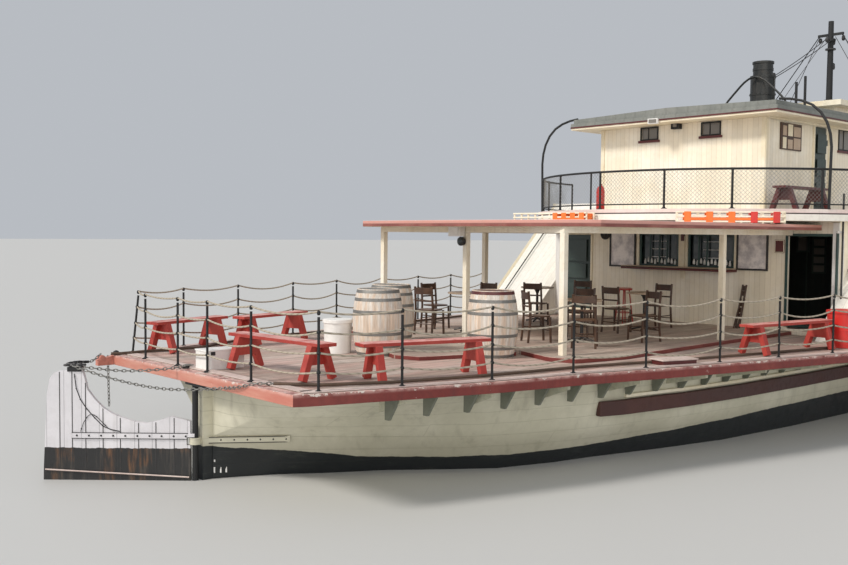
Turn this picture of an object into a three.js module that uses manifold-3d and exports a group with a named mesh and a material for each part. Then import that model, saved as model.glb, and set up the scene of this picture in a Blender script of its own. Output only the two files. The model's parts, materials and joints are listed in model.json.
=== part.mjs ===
// River paddle steamer, side-wheel type of about 1910, at its real size in millimetres.
// +X runs to the bow, +Y to port and +Z up. The origin is on the centreline at the waterline, amidships.
import * as THREE from 'three';
import { mergeVertices } from 'three/addons/utils/BufferGeometryUtils.js';
import Module from 'manifold-3d';

const wasm = await Module();
wasm.setup();

// Driving dimensions
const HULL_LENGTH = 34000;
const STERN = -HULL_LENGTH / 2;
const DECK_TOP = 1500;
const DECK_DEPTH = 145;
const SHEER_START = 24000;
const SHEER_RISE = 450;
const PLATFORM_TOP = DECK_TOP + 65;
const AWNING_UNDER = DECK_TOP + 2030;
const AWNING_TOP = DECK_TOP + 2140;
const HOUSE_TOP = DECK_TOP + 2200;
const UPPER_TOP = DECK_TOP + 2420;
const CABIN_TOP = DECK_TOP + 4270;
const WHEELHOUSE_TOP = DECK_TOP + 4950;
const WALL = 60;
const GUARD_THICK = 60;
const SEAT_GAP = 0.3;
const SIDES = [['port', 1], ['starboard', -1]];

// A place along the hull, from millimetres forward of the deck's after edge.
const at = (station) => STERN + station;

// Joins, cuts and shapes
function toSolid(geometry) {
  const bare = geometry.clone();
  for (const name of Object.keys(bare.attributes)) {
    if (name !== 'position') bare.deleteAttribute(name);
  }
  const merged = mergeVertices(bare, 0.001);
  const mesh = new wasm.Mesh({
    numProp: 3,
    vertProperties: new Float32Array(merged.attributes.position.array),
    triVerts: new Uint32Array(merged.index.array),
  });
  return new wasm.Manifold(mesh);
}

function toGeometry(solid) {
  const mesh = solid.getMesh();
  const geometry = new THREE.BufferGeometry();
  geometry.setAttribute('position', new THREE.BufferAttribute(mesh.vertProperties, 3));
  geometry.setIndex(new THREE.BufferAttribute(mesh.triVerts, 1));
  geometry.computeVertexNormals();
  return geometry;
}

function join(...solids) {
  return solids.flat().reduce((whole, next) => whole.add(next));
}

function cut(solid, ...tools) {
  return tools.flat().reduce((rest, tool) => rest.subtract(tool), solid);
}

function box(x0, x1, y0, y1, z0, z1) {
  const geometry = new THREE.BoxGeometry(x1 - x0, y1 - y0, z1 - z0);
  geometry.translate((x0 + x1) / 2, (y0 + y1) / 2, (z0 + z1) / 2);
  return toSolid(geometry);
}

function extruded(outline, depth, basis, move) {
  const shape = new THREE.Shape(outline.map(([u, v]) => new THREE.Vector2(u, v)));
  const geometry = new THREE.ExtrudeGeometry(shape, { depth, bevelEnabled: false, steps: 1 });
  geometry.applyMatrix4(new THREE.Matrix4().makeBasis(...basis.map((axis) => new THREE.Vector3(...axis))));
  geometry.translate(...move);
  return toSolid(geometry);
}

// An outline in X and Y, standing from z0 to z1.
function plate(outline, z0, z1) {
  return extruded(outline, z1 - z0, [[1, 0, 0], [0, 1, 0], [0, 0, 1]], [0, 0, z0]);
}

// An outline in X and Z, reaching from y0 to y1.
function panelY(outline, y0, y1) {
  return extruded(outline, y1 - y0, [[1, 0, 0], [0, 0, 1], [0, -1, 0]], [0, y1, 0]);
}

// An outline in Y and Z, reaching from x0 to x1.
function panelX(outline, x0, x1) {
  return extruded(outline, x1 - x0, [[0, 1, 0], [0, 0, 1], [1, 0, 0]], [x0, 0, 0]);
}

// A round bar between two points.
function rod(from, to, radius, sides = 8, endRadius = radius) {
  const start = new THREE.Vector3(...from);
  const end = new THREE.Vector3(...to);
  const run = end.clone().sub(start);
  const geometry = new THREE.CylinderGeometry(endRadius, radius, run.length(), sides, 1);
  const turn = new THREE.Quaternion().setFromUnitVectors(new THREE.Vector3(0, 1, 0), run.clone().normalize());
  geometry.applyQuaternion(turn);
  geometry.translate(...start.add(end).multiplyScalar(0.5).toArray());
  return toSolid(geometry);
}

// A pipe bent along a smooth curve through the points.
function pipe(points, radius, sides, steps) {
  const path = new THREE.CatmullRomCurve3(points.map((point) => new THREE.Vector3(...point)));
  const ring = [];
  for (let side = 0; side < sides; side += 1) {
    const angle = (2 * Math.PI * side) / sides;
    ring.push(new THREE.Vector2(radius * Math.cos(angle), radius * Math.sin(angle)));
  }
  const options = { steps, extrudePath: path, bevelEnabled: false };
  return toSolid(new THREE.ExtrudeGeometry(new THREE.Shape(ring), options));
}

// Twice the signed area of a ring's outline in Y and Z.
function ringArea(ring) {
  return ring.reduce((sum, [, y, z], i) => {
    const [, nextY, nextZ] = ring[(i + 1) % ring.length];
    return sum + y * nextZ - nextY * z;
  }, 0);
}

// Triangles that fill a ring's outline, all counter-clockwise seen from the bow.
function ringFill(ring) {
  const flat = ring.map(([, y, z]) => new THREE.Vector2(y, z));
  return THREE.ShapeUtils.triangulateShape(flat, []).map(([a, b, c]) => {
    const area = ringArea([ring[a], ring[b], ring[c]]);
    return area > 0 ? [a, b, c] : [a, c, b];
  });
}

// A closed skin over rings of equal length from the stern forward, with flat ends.
// A ring is a list of [x, y, z].
function skin(rings) {
  const ordered = ringArea(rings[0]) > 0 ? rings : rings.map((ring) => [...ring].reverse());
  const count = ordered[0].length;
  const triangles = [];
  for (let row = 0; row + 1 < ordered.length; row += 1) {
    for (let i = 0; i < count; i += 1) {
      const a = row * count + i;
      const b = row * count + ((i + 1) % count);
      triangles.push(a, b, a + count, b, b + count, a + count);
    }
  }
  const last = ordered.length - 1;
  ringFill(ordered[0]).forEach(([a, b, c]) => triangles.push(a, c, b));
  ringFill(ordered[last]).forEach((corners) => triangles.push(...corners.map((i) => last * count + i)));
  const geometry = new THREE.BufferGeometry();
  geometry.setAttribute('position', new THREE.Float32BufferAttribute(ordered.flat(2), 3));
  geometry.setIndex(triangles);
  return toSolid(geometry);
}

// Straight-line value of a table's column at a place along its first column.
function along(table, column, place) {
  const last = table.length - 1;
  if (place <= table[0][0]) return table[0][column];
  if (place >= table[last][0]) return table[last][column];
  const row = table.findIndex((entry) => entry[0] > place) - 1;
  const share = (place - table[row][0]) / (table[row + 1][0] - table[row][0]);
  return table[row][column] * (1 - share) + table[row + 1][column] * share;
}

// Materials, one for each finish
function paint(color, roughness, metalness = 0) {
  return new THREE.MeshStandardMaterial({ color, roughness, metalness });
}
const FINISH = {
  cream: paint(0xe1d6b4, 0.6),
  white: paint(0xe9e4da, 0.6),
  maroon: paint(0x74302c, 0.55),
  benchRed: paint(0xb8443a, 0.6),
  deck: paint(0xa89888, 0.85),
  hull: paint(0xd8d3bd, 0.6),
  black: paint(0x1c1d1f, 0.5),
  iron: paint(0x2a2a2c, 0.5, 0.6),
  roof: paint(0x7c8078, 0.8),
  green: paint(0x2f4037, 0.5),
  oak: paint(0xb59f85, 0.75),
  spar: paint(0x8a6a45, 0.6),
  boiler: paint(0x3a3f3c, 0.5, 0.3),
  orange: paint(0xe0602a, 0.6),
};

const steamer = new THREE.Group();

function piece(name, solid, finish, parent = steamer) {
  const mesh = new THREE.Mesh(toGeometry(solid), finish);
  mesh.name = name;
  parent.add(mesh);
  return mesh;
}

// Hull. Half-breadths at the flat bottom, the bilge, the waterline, mid-height and the deck.
const BILGE_Z = -480;
const MID_Z = 600;
const HULL_LINES = [
  // station, bottom, keel z, bilge, waterline, mid, deck
  [150, 30, -700, 45, 70, 90, 950],
  [500, 40, -720, 110, 220, 350, 1900],
  [1000, 60, -750, 230, 450, 700, 2350],
  [1500, 120, -750, 450, 790, 1150, 2560],
  [2300, 350, -750, 900, 1230, 1800, 2780],
  [3000, 700, -750, 1350, 1750, 2350, 2920],
  [3600, 1050, -750, 1800, 2170, 2620, 3020],
  [4500, 1600, -750, 2150, 2450, 2930, 3170],
  [5300, 2000, -750, 2350, 2600, 3090, 3250],
  [6600, 2450, -750, 2700, 2920, 3300, 3400],
  [8000, 2750, -750, 2980, 3200, 3420, 3470],
  [10000, 2950, -750, 3150, 3350, 3480, 3500],
  [13000, 3050, -750, 3250, 3430, 3500, 3500],
  [22000, 3050, -750, 3250, 3430, 3500, 3500],
  [24000, 3000, -750, 3200, 3380, 3470, 3490],
  [26000, 2800, -750, 3000, 3180, 3330, 3400],
  [28000, 2300, -750, 2520, 2750, 2950, 3100],
  [30000, 1480, -750, 1730, 2000, 2280, 2520],
  [32000, 620, -740, 850, 1080, 1350, 1620],
  [33200, 180, -720, 300, 440, 620, 830],
  [34000, 40, -700, 60, 80, 100, 130],
];
const SHEER_STATIONS = [24000, 26000, 28000, 30000, 32000, 33200, 34000];

// Height of the deck's top, with the bow's sheer carried straight between its stations.
const SHEER_LINE = [[0, DECK_TOP], ...SHEER_STATIONS.map((station) => {
  const share = (station - SHEER_START) / (HULL_LENGTH - SHEER_START);
  return [station, DECK_TOP + SHEER_RISE * share * share];
})];
const deckTop = (station) => along(SHEER_LINE, 1, station);
const deckUnder = (station) => deckTop(station) - DECK_DEPTH;

const HOLD = { from: 23400, to: 26000, half: 1100, floor: 300 };
const STEM_WIDTH = 70;

function hullSolid() {
  const rings = HULL_LINES.map(([station, bottom, keel, bilge, waterline, mid, deck]) => {
    const half = [[bottom, keel], [bilge, BILGE_Z], [waterline, 0], [mid, MID_Z],
      [deck, deckUnder(station) - SEAT_GAP]];
    const port = half.map(([y, z]) => [at(station), y, z]);
    const starboard = half.map(([y, z]) => [at(station), -y, z]).reverse();
    return [...port, ...starboard];
  });
  const stem = box(at(33950), at(34150), -STEM_WIDTH, STEM_WIDTH, -700, deckUnder(33950) - SEAT_GAP);
  const hold = box(at(HOLD.from), at(HOLD.to), -HOLD.half, HOLD.half, HOLD.floor, 2200);
  return cut(join(skin(rings), stem), hold);
}
const hull = hullSolid();
piece('hull', hull, FINISH.hull);

// The hull a hair wider, and a hair higher, to cut what is fitted against it.
const hullWider = hull.scale([1, 1.00015, 1]);
const hullRaised = hull.translate([0, 0, 0.15]);

// Hull half-breadth at a station and height, for what lies against the side.
function hullHalf(station, z) {
  const levels = [[-750, 1], [BILGE_Z, 3], [0, 4], [MID_Z, 5], [DECK_TOP - DECK_DEPTH, 6]];
  const line = levels.map(([height, column]) => [height, along(HULL_LINES, column, station)]);
  return along(line, 1, z);
}

// Main deck with its overhanging guards, paddle wells, hatch hole and the knees under the guards
const DECK_EDGE = [
  // station, half-breadth
  [-170, 2480], [0, 2560], [1280, 2940], [2560, 3290], [3910, 3540], [5200, 3860], [6570, 4170],
  [7870, 4440], [9160, 4720], [10500, 5000], [11500, 5200], [17600, 5200], [20000, 4760],
  [22000, 4420], [24000, 4100],
  [26000, 3800], [28000, 3350], [30000, 2760], [32000, 1850], [33200, 1020], [34200, 240],
];
const WELL = { from: 11950, to: 16850, inner: 3600, outer: 5000 };
const KNEE_PITCH = 1240;
const KNEE_THICK = 60;
const KNEE_DROP = 170;
const KNEE_SUNK = 60;
const EDGE_STATIONS = DECK_EDGE.map((row) => row[0]).filter((station) => station >= 0);
const DECK_STATIONS = [...new Set([...EDGE_STATIONS, ...SHEER_STATIONS])].sort((a, b) => a - b);
const edgeHalf = (station) => along(DECK_EDGE, 1, station) - GUARD_THICK - SEAT_GAP;

function kneeSolid(station, side) {
  const root = deckUnder(station);
  const inner = hullHalf(station, root) - KNEE_SUNK;
  const outer = edgeHalf(station) - 30;
  const drop = Math.min(0.6 * (outer - inner), KNEE_DROP);
  const outline = [[side * inner, root + 5], [side * outer, root + 5], [side * outer, root - 60],
    [side * inner, root - 60 - drop]];
  const knee = panelX(outline, at(station) - KNEE_THICK / 2, at(station) + KNEE_THICK / 2);
  return cut(knee, hullWider, hullRaised);
}

function mainDeckSolid() {
  const rings = DECK_STATIONS.map((station) => {
    const half = edgeHalf(station);
    const top = deckTop(station);
    const under = deckUnder(station);
    return [[at(station), half, under], [at(station), half, top], [at(station), -half, top],
      [at(station), -half, under]];
  });
  const knees = [];
  for (let station = 1240; station < 30500; station += KNEE_PITCH) {
    const byWell = station > WELL.from - 200 && station < WELL.to + 200;
    const wide = edgeHalf(station) - hullHalf(station, MID_Z) > 330;
    if (!byWell && wide) SIDES.forEach(([, side]) => knees.push(kneeSolid(station, side)));
  }
  const wells = SIDES.map(([, side]) => {
    const [y0, y1] = [side * WELL.inner, side * WELL.outer].sort((a, b) => a - b);
    return box(at(WELL.from), at(WELL.to), y0, y1, 1000, 1700);
  });
  const hatch = box(at(HOLD.from), at(HOLD.to), -HOLD.half, HOLD.half, 1000, 2200);
  return cut(join(skin(rings), knees), wells, hatch);
}
piece('main_deck', mainDeckSolid(), FINISH.deck);

// Guards: the painted timbers round the deck's edge, with the bracket at the port after corner
// whose sheave carries the steering chain
const GUARD_AFT = DECK_EDGE[0][0];
const STERN_HALF = 2475;
const SHEAVE = { y: 2400, out: -420, axle: -350, radius: 45 };

function sideGuard(side) {
  const stations = [GUARD_AFT, ...DECK_STATIONS];
  const rings = stations.map((station) => {
    const outer = side * along(DECK_EDGE, 1, station);
    const inner = outer - side * GUARD_THICK;
    const top = deckTop(station);
    const under = deckUnder(station);
    return [[at(station), inner, under], [at(station), outer, under], [at(station), outer, top],
      [at(station), inner, top]];
  });
  return skin(rings);
}

function sheaveBracket() {
  const { y, out, axle, radius } = SHEAVE;
  const root = GUARD_AFT + 10;
  const arm = panelY([[at(root), DECK_TOP - DECK_DEPTH], [at(root), DECK_TOP], [at(out), DECK_TOP - 60],
    [at(out), DECK_TOP - DECK_DEPTH]], y - 50, y + 50);
  const sheave = rod([at(axle), y - 60, DECK_TOP - 30], [at(axle), y + 60, DECK_TOP - 30], radius, 12);
  return join(arm, sheave);
}
const sternGuard = box(at(GUARD_AFT), at(-SEAT_GAP), -STERN_HALF, STERN_HALF, DECK_TOP - DECK_DEPTH,
  DECK_TOP);
piece('deck_guard', join(
  sternGuard,
  SIDES.map(([, side]) => sideGuard(side)),
  sheaveBracket(),
), FINISH.maroon);

// Rubbing strakes along the hull below the guards
const STRAKE = { from: 4800, to: 28000, bottom: 750, top: 970, thick: 90, sunk: 60, nose: 400 };

function strakeSolid(side) {
  const nose = STRAKE.from + STRAKE.nose;
  const inside = HULL_LINES.map((row) => row[0]).filter((place) => place > nose && place < STRAKE.to);
  const rings = [STRAKE.from, nose, ...inside, STRAKE.to].map((station, index, all) => {
    const face = hullHalf(station, STRAKE.top);
    const thick = index === 0 || index === all.length - 1 ? STRAKE.thick / 3 : STRAKE.thick;
    const inner = side * (face - STRAKE.sunk);
    const outer = side * (face + thick);
    return [[at(station), inner, STRAKE.bottom], [at(station), outer, STRAKE.bottom],
      [at(station), outer, STRAKE.top], [at(station), inner, STRAKE.top]];
  });
  return cut(skin(rings), hullWider);
}
SIDES.forEach(([name, side]) => piece(`${name}_rubbing_strake`, strakeSolid(side), FINISH.maroon));

// Sternpost with the gudgeon rings and straps that hold the rudder stock
const STOCK = { station: -75, radius: 42, ring: 80, play: 1.2, sides: 16 };
const GUDGEONS = [[500, 590], [-560, -460]];

function sternpostSolid() {
  const post = box(at(0), at(150), -70, 70, -740, DECK_TOP - DECK_DEPTH);
  const rings = GUDGEONS.map(([from, to]) => join(
    rod([at(STOCK.station), 0, from], [at(STOCK.station), 0, to], STOCK.ring, 12),
    box(at(STOCK.station), at(10), -STOCK.ring * 0.6, STOCK.ring * 0.6, from, to),
  ));
  const boreRadius = STOCK.radius + STOCK.play;
  const bore = rod([at(STOCK.station), 0, -800], [at(STOCK.station), 0, 1280], boreRadius, STOCK.sides);
  const [low, high] = GUDGEONS[0];
  const straps = SIDES.map(([, side]) => {
    const reach = [[40, 40], ...[150, 500, 1000].map((station) => [station, hullHalf(station, high)])];
    const inner = reach.map(([station, y]) => [at(station), side * (y - 30)]);
    const outer = reach.map(([station, y]) => [at(station) - 12, side * (y + 26)]).reverse();
    return cut(plate([...inner, ...outer], low, high), hullWider);
  });
  return join(cut(join(post, rings), bore), straps);
}
piece('sternpost', sternpostSolid(), FINISH.white);

// Rudder, a tall plank blade on a round iron stock, turned to port as the boat lies
const RUDDER_TURN = THREE.MathUtils.degToRad(-41.8);
const BLADE_THICK = 70;
const BLADE = [
  // millimetres aft of the stock, height above the deck
  [60, -2150], [60, -680], [150, -655], [320, -615], [500, -680], [660, -710], [820, -690], [1025, -625],
  [1130, -580], [1260, -495], [1365, -385], [1465, -250], [1505, -70], [1530, 5], [1700, 10],
  [1850, -5], [1925, -40], [1975, -110], [2015, -335], [2050, -1020], [2065, -1320], [2080, -2150],
];
const RUDDER_STRAP = { reach: 1670, low: -920, high: -850, proud: 14 };
const BATTEN = { aft: 2045, fore: 70, rise: -1335, drop: -1430, high: 36, proud: 16 };

function rudderSolid() {
  const outline = BLADE.map(([back, rise]) => [-back, DECK_TOP + rise]);
  const blade = panelY(outline, -BLADE_THICK / 2, BLADE_THICK / 2);
  const foot = DECK_TOP - 2150;
  const stock = rod([0, 0, foot], [0, 0, DECK_TOP - DECK_DEPTH - 8], STOCK.radius, STOCK.sides);
  const strapHalf = BLADE_THICK / 2 + RUDDER_STRAP.proud;
  const strap = box(-RUDDER_STRAP.reach, 0, -strapHalf, strapHalf, DECK_TOP + RUDDER_STRAP.low,
    DECK_TOP + RUDDER_STRAP.high);
  const battenHalf = BLADE_THICK / 2 + BATTEN.proud;
  const batten = panelY([[-BATTEN.aft, DECK_TOP + BATTEN.rise - BATTEN.high],
    [-BATTEN.fore, DECK_TOP + BATTEN.drop - BATTEN.high], [-BATTEN.fore, DECK_TOP + BATTEN.drop],
    [-BATTEN.aft, DECK_TOP + BATTEN.rise]], -battenHalf, battenHalf);
  const slots = GUDGEONS.map(([low, high]) => cut(
    rod([0, 0, low - 12], [0, 0, high + 12], STOCK.ring + 40, 12),
    rod([0, 0, low - 20], [0, 0, high + 20], STOCK.radius, STOCK.sides),
  ));
  const head = box(-1730, -1530, -50, 50, DECK_TOP - 10, DECK_TOP + 50);
  return cut(join(blade, stock, strap, batten, head), slots);
}
const rudderGroup = new THREE.Group();
rudderGroup.position.set(at(STOCK.station), 0, 0);
rudderGroup.rotation.z = RUDDER_TURN;
steamer.add(rudderGroup);
piece('rudder', rudderSolid(), FINISH.white, rudderGroup);

// Trestle benches. Each stands between two ends, given by the middle of their feet.
const BENCH = { overhang: 220, seat: 135, thick: 45, leg: 45, web: 20 };

function benchSolid(length, height) {
  const { overhang, seat: half, thick } = BENCH;
  const seat = box(-overhang, length + overhang, -half, half, height - thick, height);
  const root = height - thick + 5;
  const trestles = [0, length].flatMap((x) => {
    const web = panelX([[-95, root], [95, root], [175, height - 270], [-175, height - 270]],
      x - BENCH.web, x + BENCH.web);
    const legs = [-1, 1].map((sign) => panelX([[sign * 75, root], [sign * 140, root],
      [sign * 290, SEAT_GAP], [sign * 215, SEAT_GAP]], x - BENCH.leg, x + BENCH.leg));
    return [web, ...legs];
  });
  return join(seat, trestles);
}

const BENCHES = [
  // name, after end's station and y, forward end's station and y, floor, height
  ['bench_starboard_aft', 1290, -2200, 2720, -2570, DECK_TOP, 500],
  ['bench_stern', 620, -160, 725, -1730, DECK_TOP, 500],
  ['bench_port_aft', 560, 2190, 1640, 2510, DECK_TOP, 500],
  ['bench_port', 2170, 2290, 3330, 2600, DECK_TOP, 500],
  ['bench_starboard_mid', 7840, -3830, 9560, -4060, DECK_TOP, 500],
  ['bench_upper_deck', 11200, -2480, 12500, -2480, UPPER_TOP, 470],
];
for (const [name, x0, y0, x1, y1, floor, height] of BENCHES) {
  const run = new THREE.Vector2(x1 - x0, y1 - y0);
  const heading = THREE.MathUtils.radToDeg(run.angle());
  const bench = benchSolid(run.length(), height).rotate([0, 0, heading]);
  piece(name, bench.translate([at(x0), y0, floor]), FINISH.benchRed);
}

// Oak barrels that stand on end as tables
const BARREL_PROFILE = [
  // radius, height
  [0, 0], [325, 0], [368, 260], [392, 520], [368, 780], [325, 1040], [0, 1040],
];
const BARRELS = [['barrel_aft', 3090, -60], ['barrel_port', 4150, 885], ['barrel_starboard', 4330, -1360]];
for (const [name, station, y] of BARRELS) {
  const lathe = new THREE.LatheGeometry(BARREL_PROFILE.map(([r, z]) => new THREE.Vector2(r, z)), 16);
  lathe.rotateX(Math.PI / 2);
  lathe.translate(at(station), y, DECK_TOP);
  piece(name, toSolid(lathe), FINISH.oak);
}

// Lockers and bins on the after deck
piece('deck_box', box(at(60), at(680), -60, 260, DECK_TOP, DECK_TOP + 280), FINISH.white);
const BIN_TOP = DECK_TOP + 620;
piece('white_bin', join(
  rod([at(2740), 520, DECK_TOP], [at(2740), 520, DECK_TOP + 500], 210, 12, 230),
  rod([at(2740), 520, DECK_TOP + 480], [at(2740), 520, DECK_TOP + 540], 245, 12),
), FINISH.white);
const redBin = rod([at(10100), -4207, DECK_TOP], [at(10100), -4207, BIN_TOP], 230, 12, 260);
piece('red_bin', redBin, FINISH.benchRed);

// Raised platform under the awning, with the tables and chairs that stand on it
const PLATFORM = [
  [4850, -1500], [4560, -2300], [4700, -2750], [5700, -2900], [9000, -2680], [11500, -2560],
  [11500, 2560], [9000, 2680], [5700, 2900], [4700, 2750], [4560, 2300], [4850, 1500],
];
const CHAIRS = [
  // station, y, heading in degrees of the sitter
  [5450, 1330, 15], [6350, 2150, -90], [7250, 1750, 190], [6050, -760, -30], [7300, -700, 200],
  [6050, -1800, 35], [7600, -1850, 165], [8550, -560, 0], [8400, 1350, 20], [9650, 1250, 200],
  [9950, -500, 180],
];
const TABLES = [[6400, 1350], [6650, -1250], [9300, -650], [9050, 1900]];
const CHAIR = { seat: 450, back: 880, half: 200, leg: 18 };
const TABLE = { height: 740, half: 350 };

function chairSolid(station, y, heading) {
  const { half, leg, seat, back } = CHAIR;
  const legs = [-1, 1].flatMap((sign) => {
    const [y0, y1] = [sign * half, sign * (half - 2 * leg)].sort((a, b) => a - b);
    const front = box(half - 2 * leg, half, y0, y1, -5, seat - 10);
    return [front, box(-half, -half + 2 * leg, y0, y1, -5, back)];
  });
  const seatPad = box(-half, half, -half, half, seat - 40, seat);
  const rest = box(-half, -half + 26, -half, half, back - 140, back);
  return join(legs, seatPad, rest).rotate([0, 0, heading]).translate([at(station), y, PLATFORM_TOP]);
}

function tableSolid(station, y) {
  const { height, half } = TABLE;
  const top = box(-half, half, -half, half, height - 35, height);
  const foot = join(box(-260, 260, -30, 30, -5, 40), box(-30, 30, -260, 260, -5, 40));
  const stem = rod([0, 0, 0], [0, 0, height - 20], 35, 6);
  return join(top, foot, stem).translate([at(station), y, PLATFORM_TOP]);
}

const platform = plate(PLATFORM.map(([station, y]) => [at(station), y]), DECK_TOP, PLATFORM_TOP);
piece('platform', join(
  platform,
  CHAIRS.map((row) => chairSolid(...row)),
  TABLES.map((row) => tableSolid(...row)),
), FINISH.deck);

// Awning over the platform: posts and beams, and the flat roof on them
const AWNING_POSTS = [[5200, 2350], [5430, 360], [4910, -2290], [8000, 2430], [8920, -2560]];
const POST = 46;
const BEAM = 90;

function awningFrameSolid() {
  const posts = AWNING_POSTS.map(([station, y]) => {
    return box(at(station) - POST, at(station) + POST, y - POST, y + POST, PLATFORM_TOP, AWNING_UNDER - BEAM);
  });
  const beam = (from, to) => {
    const start = new THREE.Vector2(at(from[0]), from[1]);
    const end = new THREE.Vector2(at(to[0]), to[1]);
    const out = end.clone().sub(start).normalize().multiplyScalar(POST);
    const side = new THREE.Vector2(-out.y, out.x);
    const corners = [start.clone().sub(out).add(side), end.clone().add(out).add(side),
      end.clone().add(out).sub(side), start.clone().sub(out).sub(side)];
    return plate(corners.map((corner) => [corner.x, corner.y]), AWNING_UNDER - BEAM - 5, AWNING_UNDER);
  };
  const ends = [[11400, 2500], [11400, -2500]];
  const beams = [beam(AWNING_POSTS[0], AWNING_POSTS[1]), beam(AWNING_POSTS[1], AWNING_POSTS[2]),
    beam(AWNING_POSTS[0], AWNING_POSTS[3]), beam(AWNING_POSTS[3], ends[0]),
    beam(AWNING_POSTS[2], AWNING_POSTS[4]), beam(AWNING_POSTS[4], ends[1])];
  return join(posts, beams);
}
piece('awning_frame', awningFrameSolid(), FINISH.cream);

const AWNING = [
  [4660, 0], [4720, -1600], [4840, -2480], [5150, -2800], [8000, -2950], [11500, -3100],
  [11500, 3100], [8000, 2950], [5150, 2800], [4880, 2600], [4740, 1600],
];
const awning = plate(AWNING.map(([station, y]) => [at(station), y]), AWNING_UNDER, AWNING_TOP);
piece('awning_roof', awning, FINISH.maroon);

// Upper deck, round at its after end, with the funnel and mast holes
const UPPER = { centre: 13000, radius: 4050, forward: 19400, half: 3450, boxFrom: 12800, boxTo: 16000 };
const FUNNEL = { station: 14700, radius: 280, collar: 340, top: DECK_TOP + 5980, joint: DECK_TOP + 4700 };
const MAST = { station: 18000, radius: 120, top: DECK_TOP + 7410 };

const FRONT_POST = { station: 19100, y: 3250, half: 60 };

function upperDeckSolid() {
  const outline = [];
  const steps = 16;
  for (let step = 0; step <= steps; step += 1) {
    const angle = Math.PI / 2 + (Math.PI * step) / steps;
    outline.push([at(UPPER.centre) + UPPER.radius * Math.cos(angle), UPPER.radius * Math.sin(angle)]);
  }
  outline.push([at(18800), -UPPER.radius], [at(UPPER.forward), -3400], [at(UPPER.forward), 3400],
    [at(18800), UPPER.radius]);
  const notches = SIDES.map(([, side]) => {
    const [y0, y1] = [side * UPPER.half, side * 6000].sort((a, b) => a - b);
    return box(at(UPPER.boxFrom), at(UPPER.boxTo), y0, y1, 3000, 5000);
  });
  const hole = ({ station, radius }, play, sides) => {
    return rod([at(station), 0, 3000], [at(station), 0, 5000], radius + play, sides);
  };
  const posts = SIDES.map(([, side]) => {
    const y = side * FRONT_POST.y;
    const { station, half } = FRONT_POST;
    return box(at(station) - half, at(station) + half, y - half, y + half, DECK_TOP, HOUSE_TOP + 20);
  });
  const deck = plate(outline, HOUSE_TOP, UPPER_TOP);
  return join(cut(deck, notches, hole(FUNNEL, 30, 16), hole(MAST, 4, 10)), posts);
}
piece('upper_deck', upperDeckSolid(), FINISH.cream);

// Box-shaped rooms: four walls with window and door openings cut through them
function roomSolid(room, openings) {
  const [x0, x1, y0, y1, z0, z1] = room;
  const inside = box(x0 + WALL, x1 - WALL, y0 + WALL, y1 - WALL, z0 - 10, z1 + 10);
  return cut(box(...room), inside, openings.map((opening) => box(...opening)));
}
const REACH = 100;

// An opening in an end wall (across X) or a side wall (across Y)
const endOpening = (wallX, y0, y1, z0, z1) => [wallX - REACH, wallX + REACH, y0, y1, z0, z1];
const sideOpening = (station0, station1, wallY, z0, z1) => {
  return [at(station0), at(station1), wallY - REACH, wallY + REACH, z0, z1];
};

// Deckhouse on the main deck: saloon aft, engine and boiler space amidships
const HOUSE = { from: 11500, to: 17500, half: 3450 };
const PADDLE = {
  station: 14400, z: DECK_TOP + 300, radius: 2250, inner: 3780, outer: 4880, shaft: 90, sides: 24,
};
const HOUSE_DOOR = { low: 2430, high: 3330, top: DECK_TOP + 1920, sill: PLATFORM_TOP + 20 };
const SERVERY = [[50, 1070], [-1270, -170]];
const COUNTER = { reach: 330, half: 1330, top: DECK_TOP + 1225 };

function deckhouseSolid() {
  const room = [at(HOUSE.from), at(HOUSE.to), -HOUSE.half, HOUSE.half, DECK_TOP, HOUSE_TOP];
  const openings = [];
  for (const [, side] of SIDES) {
    const [y0, y1] = [side * HOUSE_DOOR.low, side * HOUSE_DOOR.high].sort((a, b) => a - b);
    openings.push(endOpening(at(HOUSE.from), y0, y1, HOUSE_DOOR.sill, HOUSE_DOOR.top));
    openings.push(endOpening(at(HOUSE.to), y0, y1, HOUSE_DOOR.sill, HOUSE_DOOR.top));
    openings.push(endOpening(at(HOUSE.to), ...[side * 600, side * 1700].sort((a, b) => a - b),
      DECK_TOP + 1100, DECK_TOP + 1850));
  }
  for (const [y0, y1] of SERVERY) {
    openings.push(endOpening(at(HOUSE.from), y0, y1, DECK_TOP + 1250, DECK_TOP + 1970));
  }
  const counter = box(at(HOUSE.from) - COUNTER.reach, at(HOUSE.from) + 10, -COUNTER.half, COUNTER.half,
    COUNTER.top - 45, COUNTER.top);
  const shaftHole = rod([at(PADDLE.station), -4000, PADDLE.z], [at(PADDLE.station), 4000, PADDLE.z],
    PADDLE.shaft + 25, 12);
  return join(cut(roomSolid(room, openings), shaftHole), counter);
}
piece('deckhouse', deckhouseSolid(), FINISH.cream);

// Paddle boxes with their sloping ends
const BOX = { outer: 5139, wall: 60, foot: 10620, height: 2720 };
const BEARING = { thick: 150, half: 200, play: 1 };

// The box's outline in X and Z, drawn in by a wall's thickness and carried below the deck's top.
function boxOutline(inset, below) {
  const foot = BOX.foot + Math.SQRT2 * inset;
  const top = BOX.height - inset;
  const mirror = (station) => 2 * PADDLE.station - station;
  return [[at(foot - below), DECK_TOP - below], [at(foot + top), DECK_TOP + top],
    [at(mirror(foot + top)), DECK_TOP + top], [at(mirror(foot - below)), DECK_TOP - below]];
}

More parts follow.
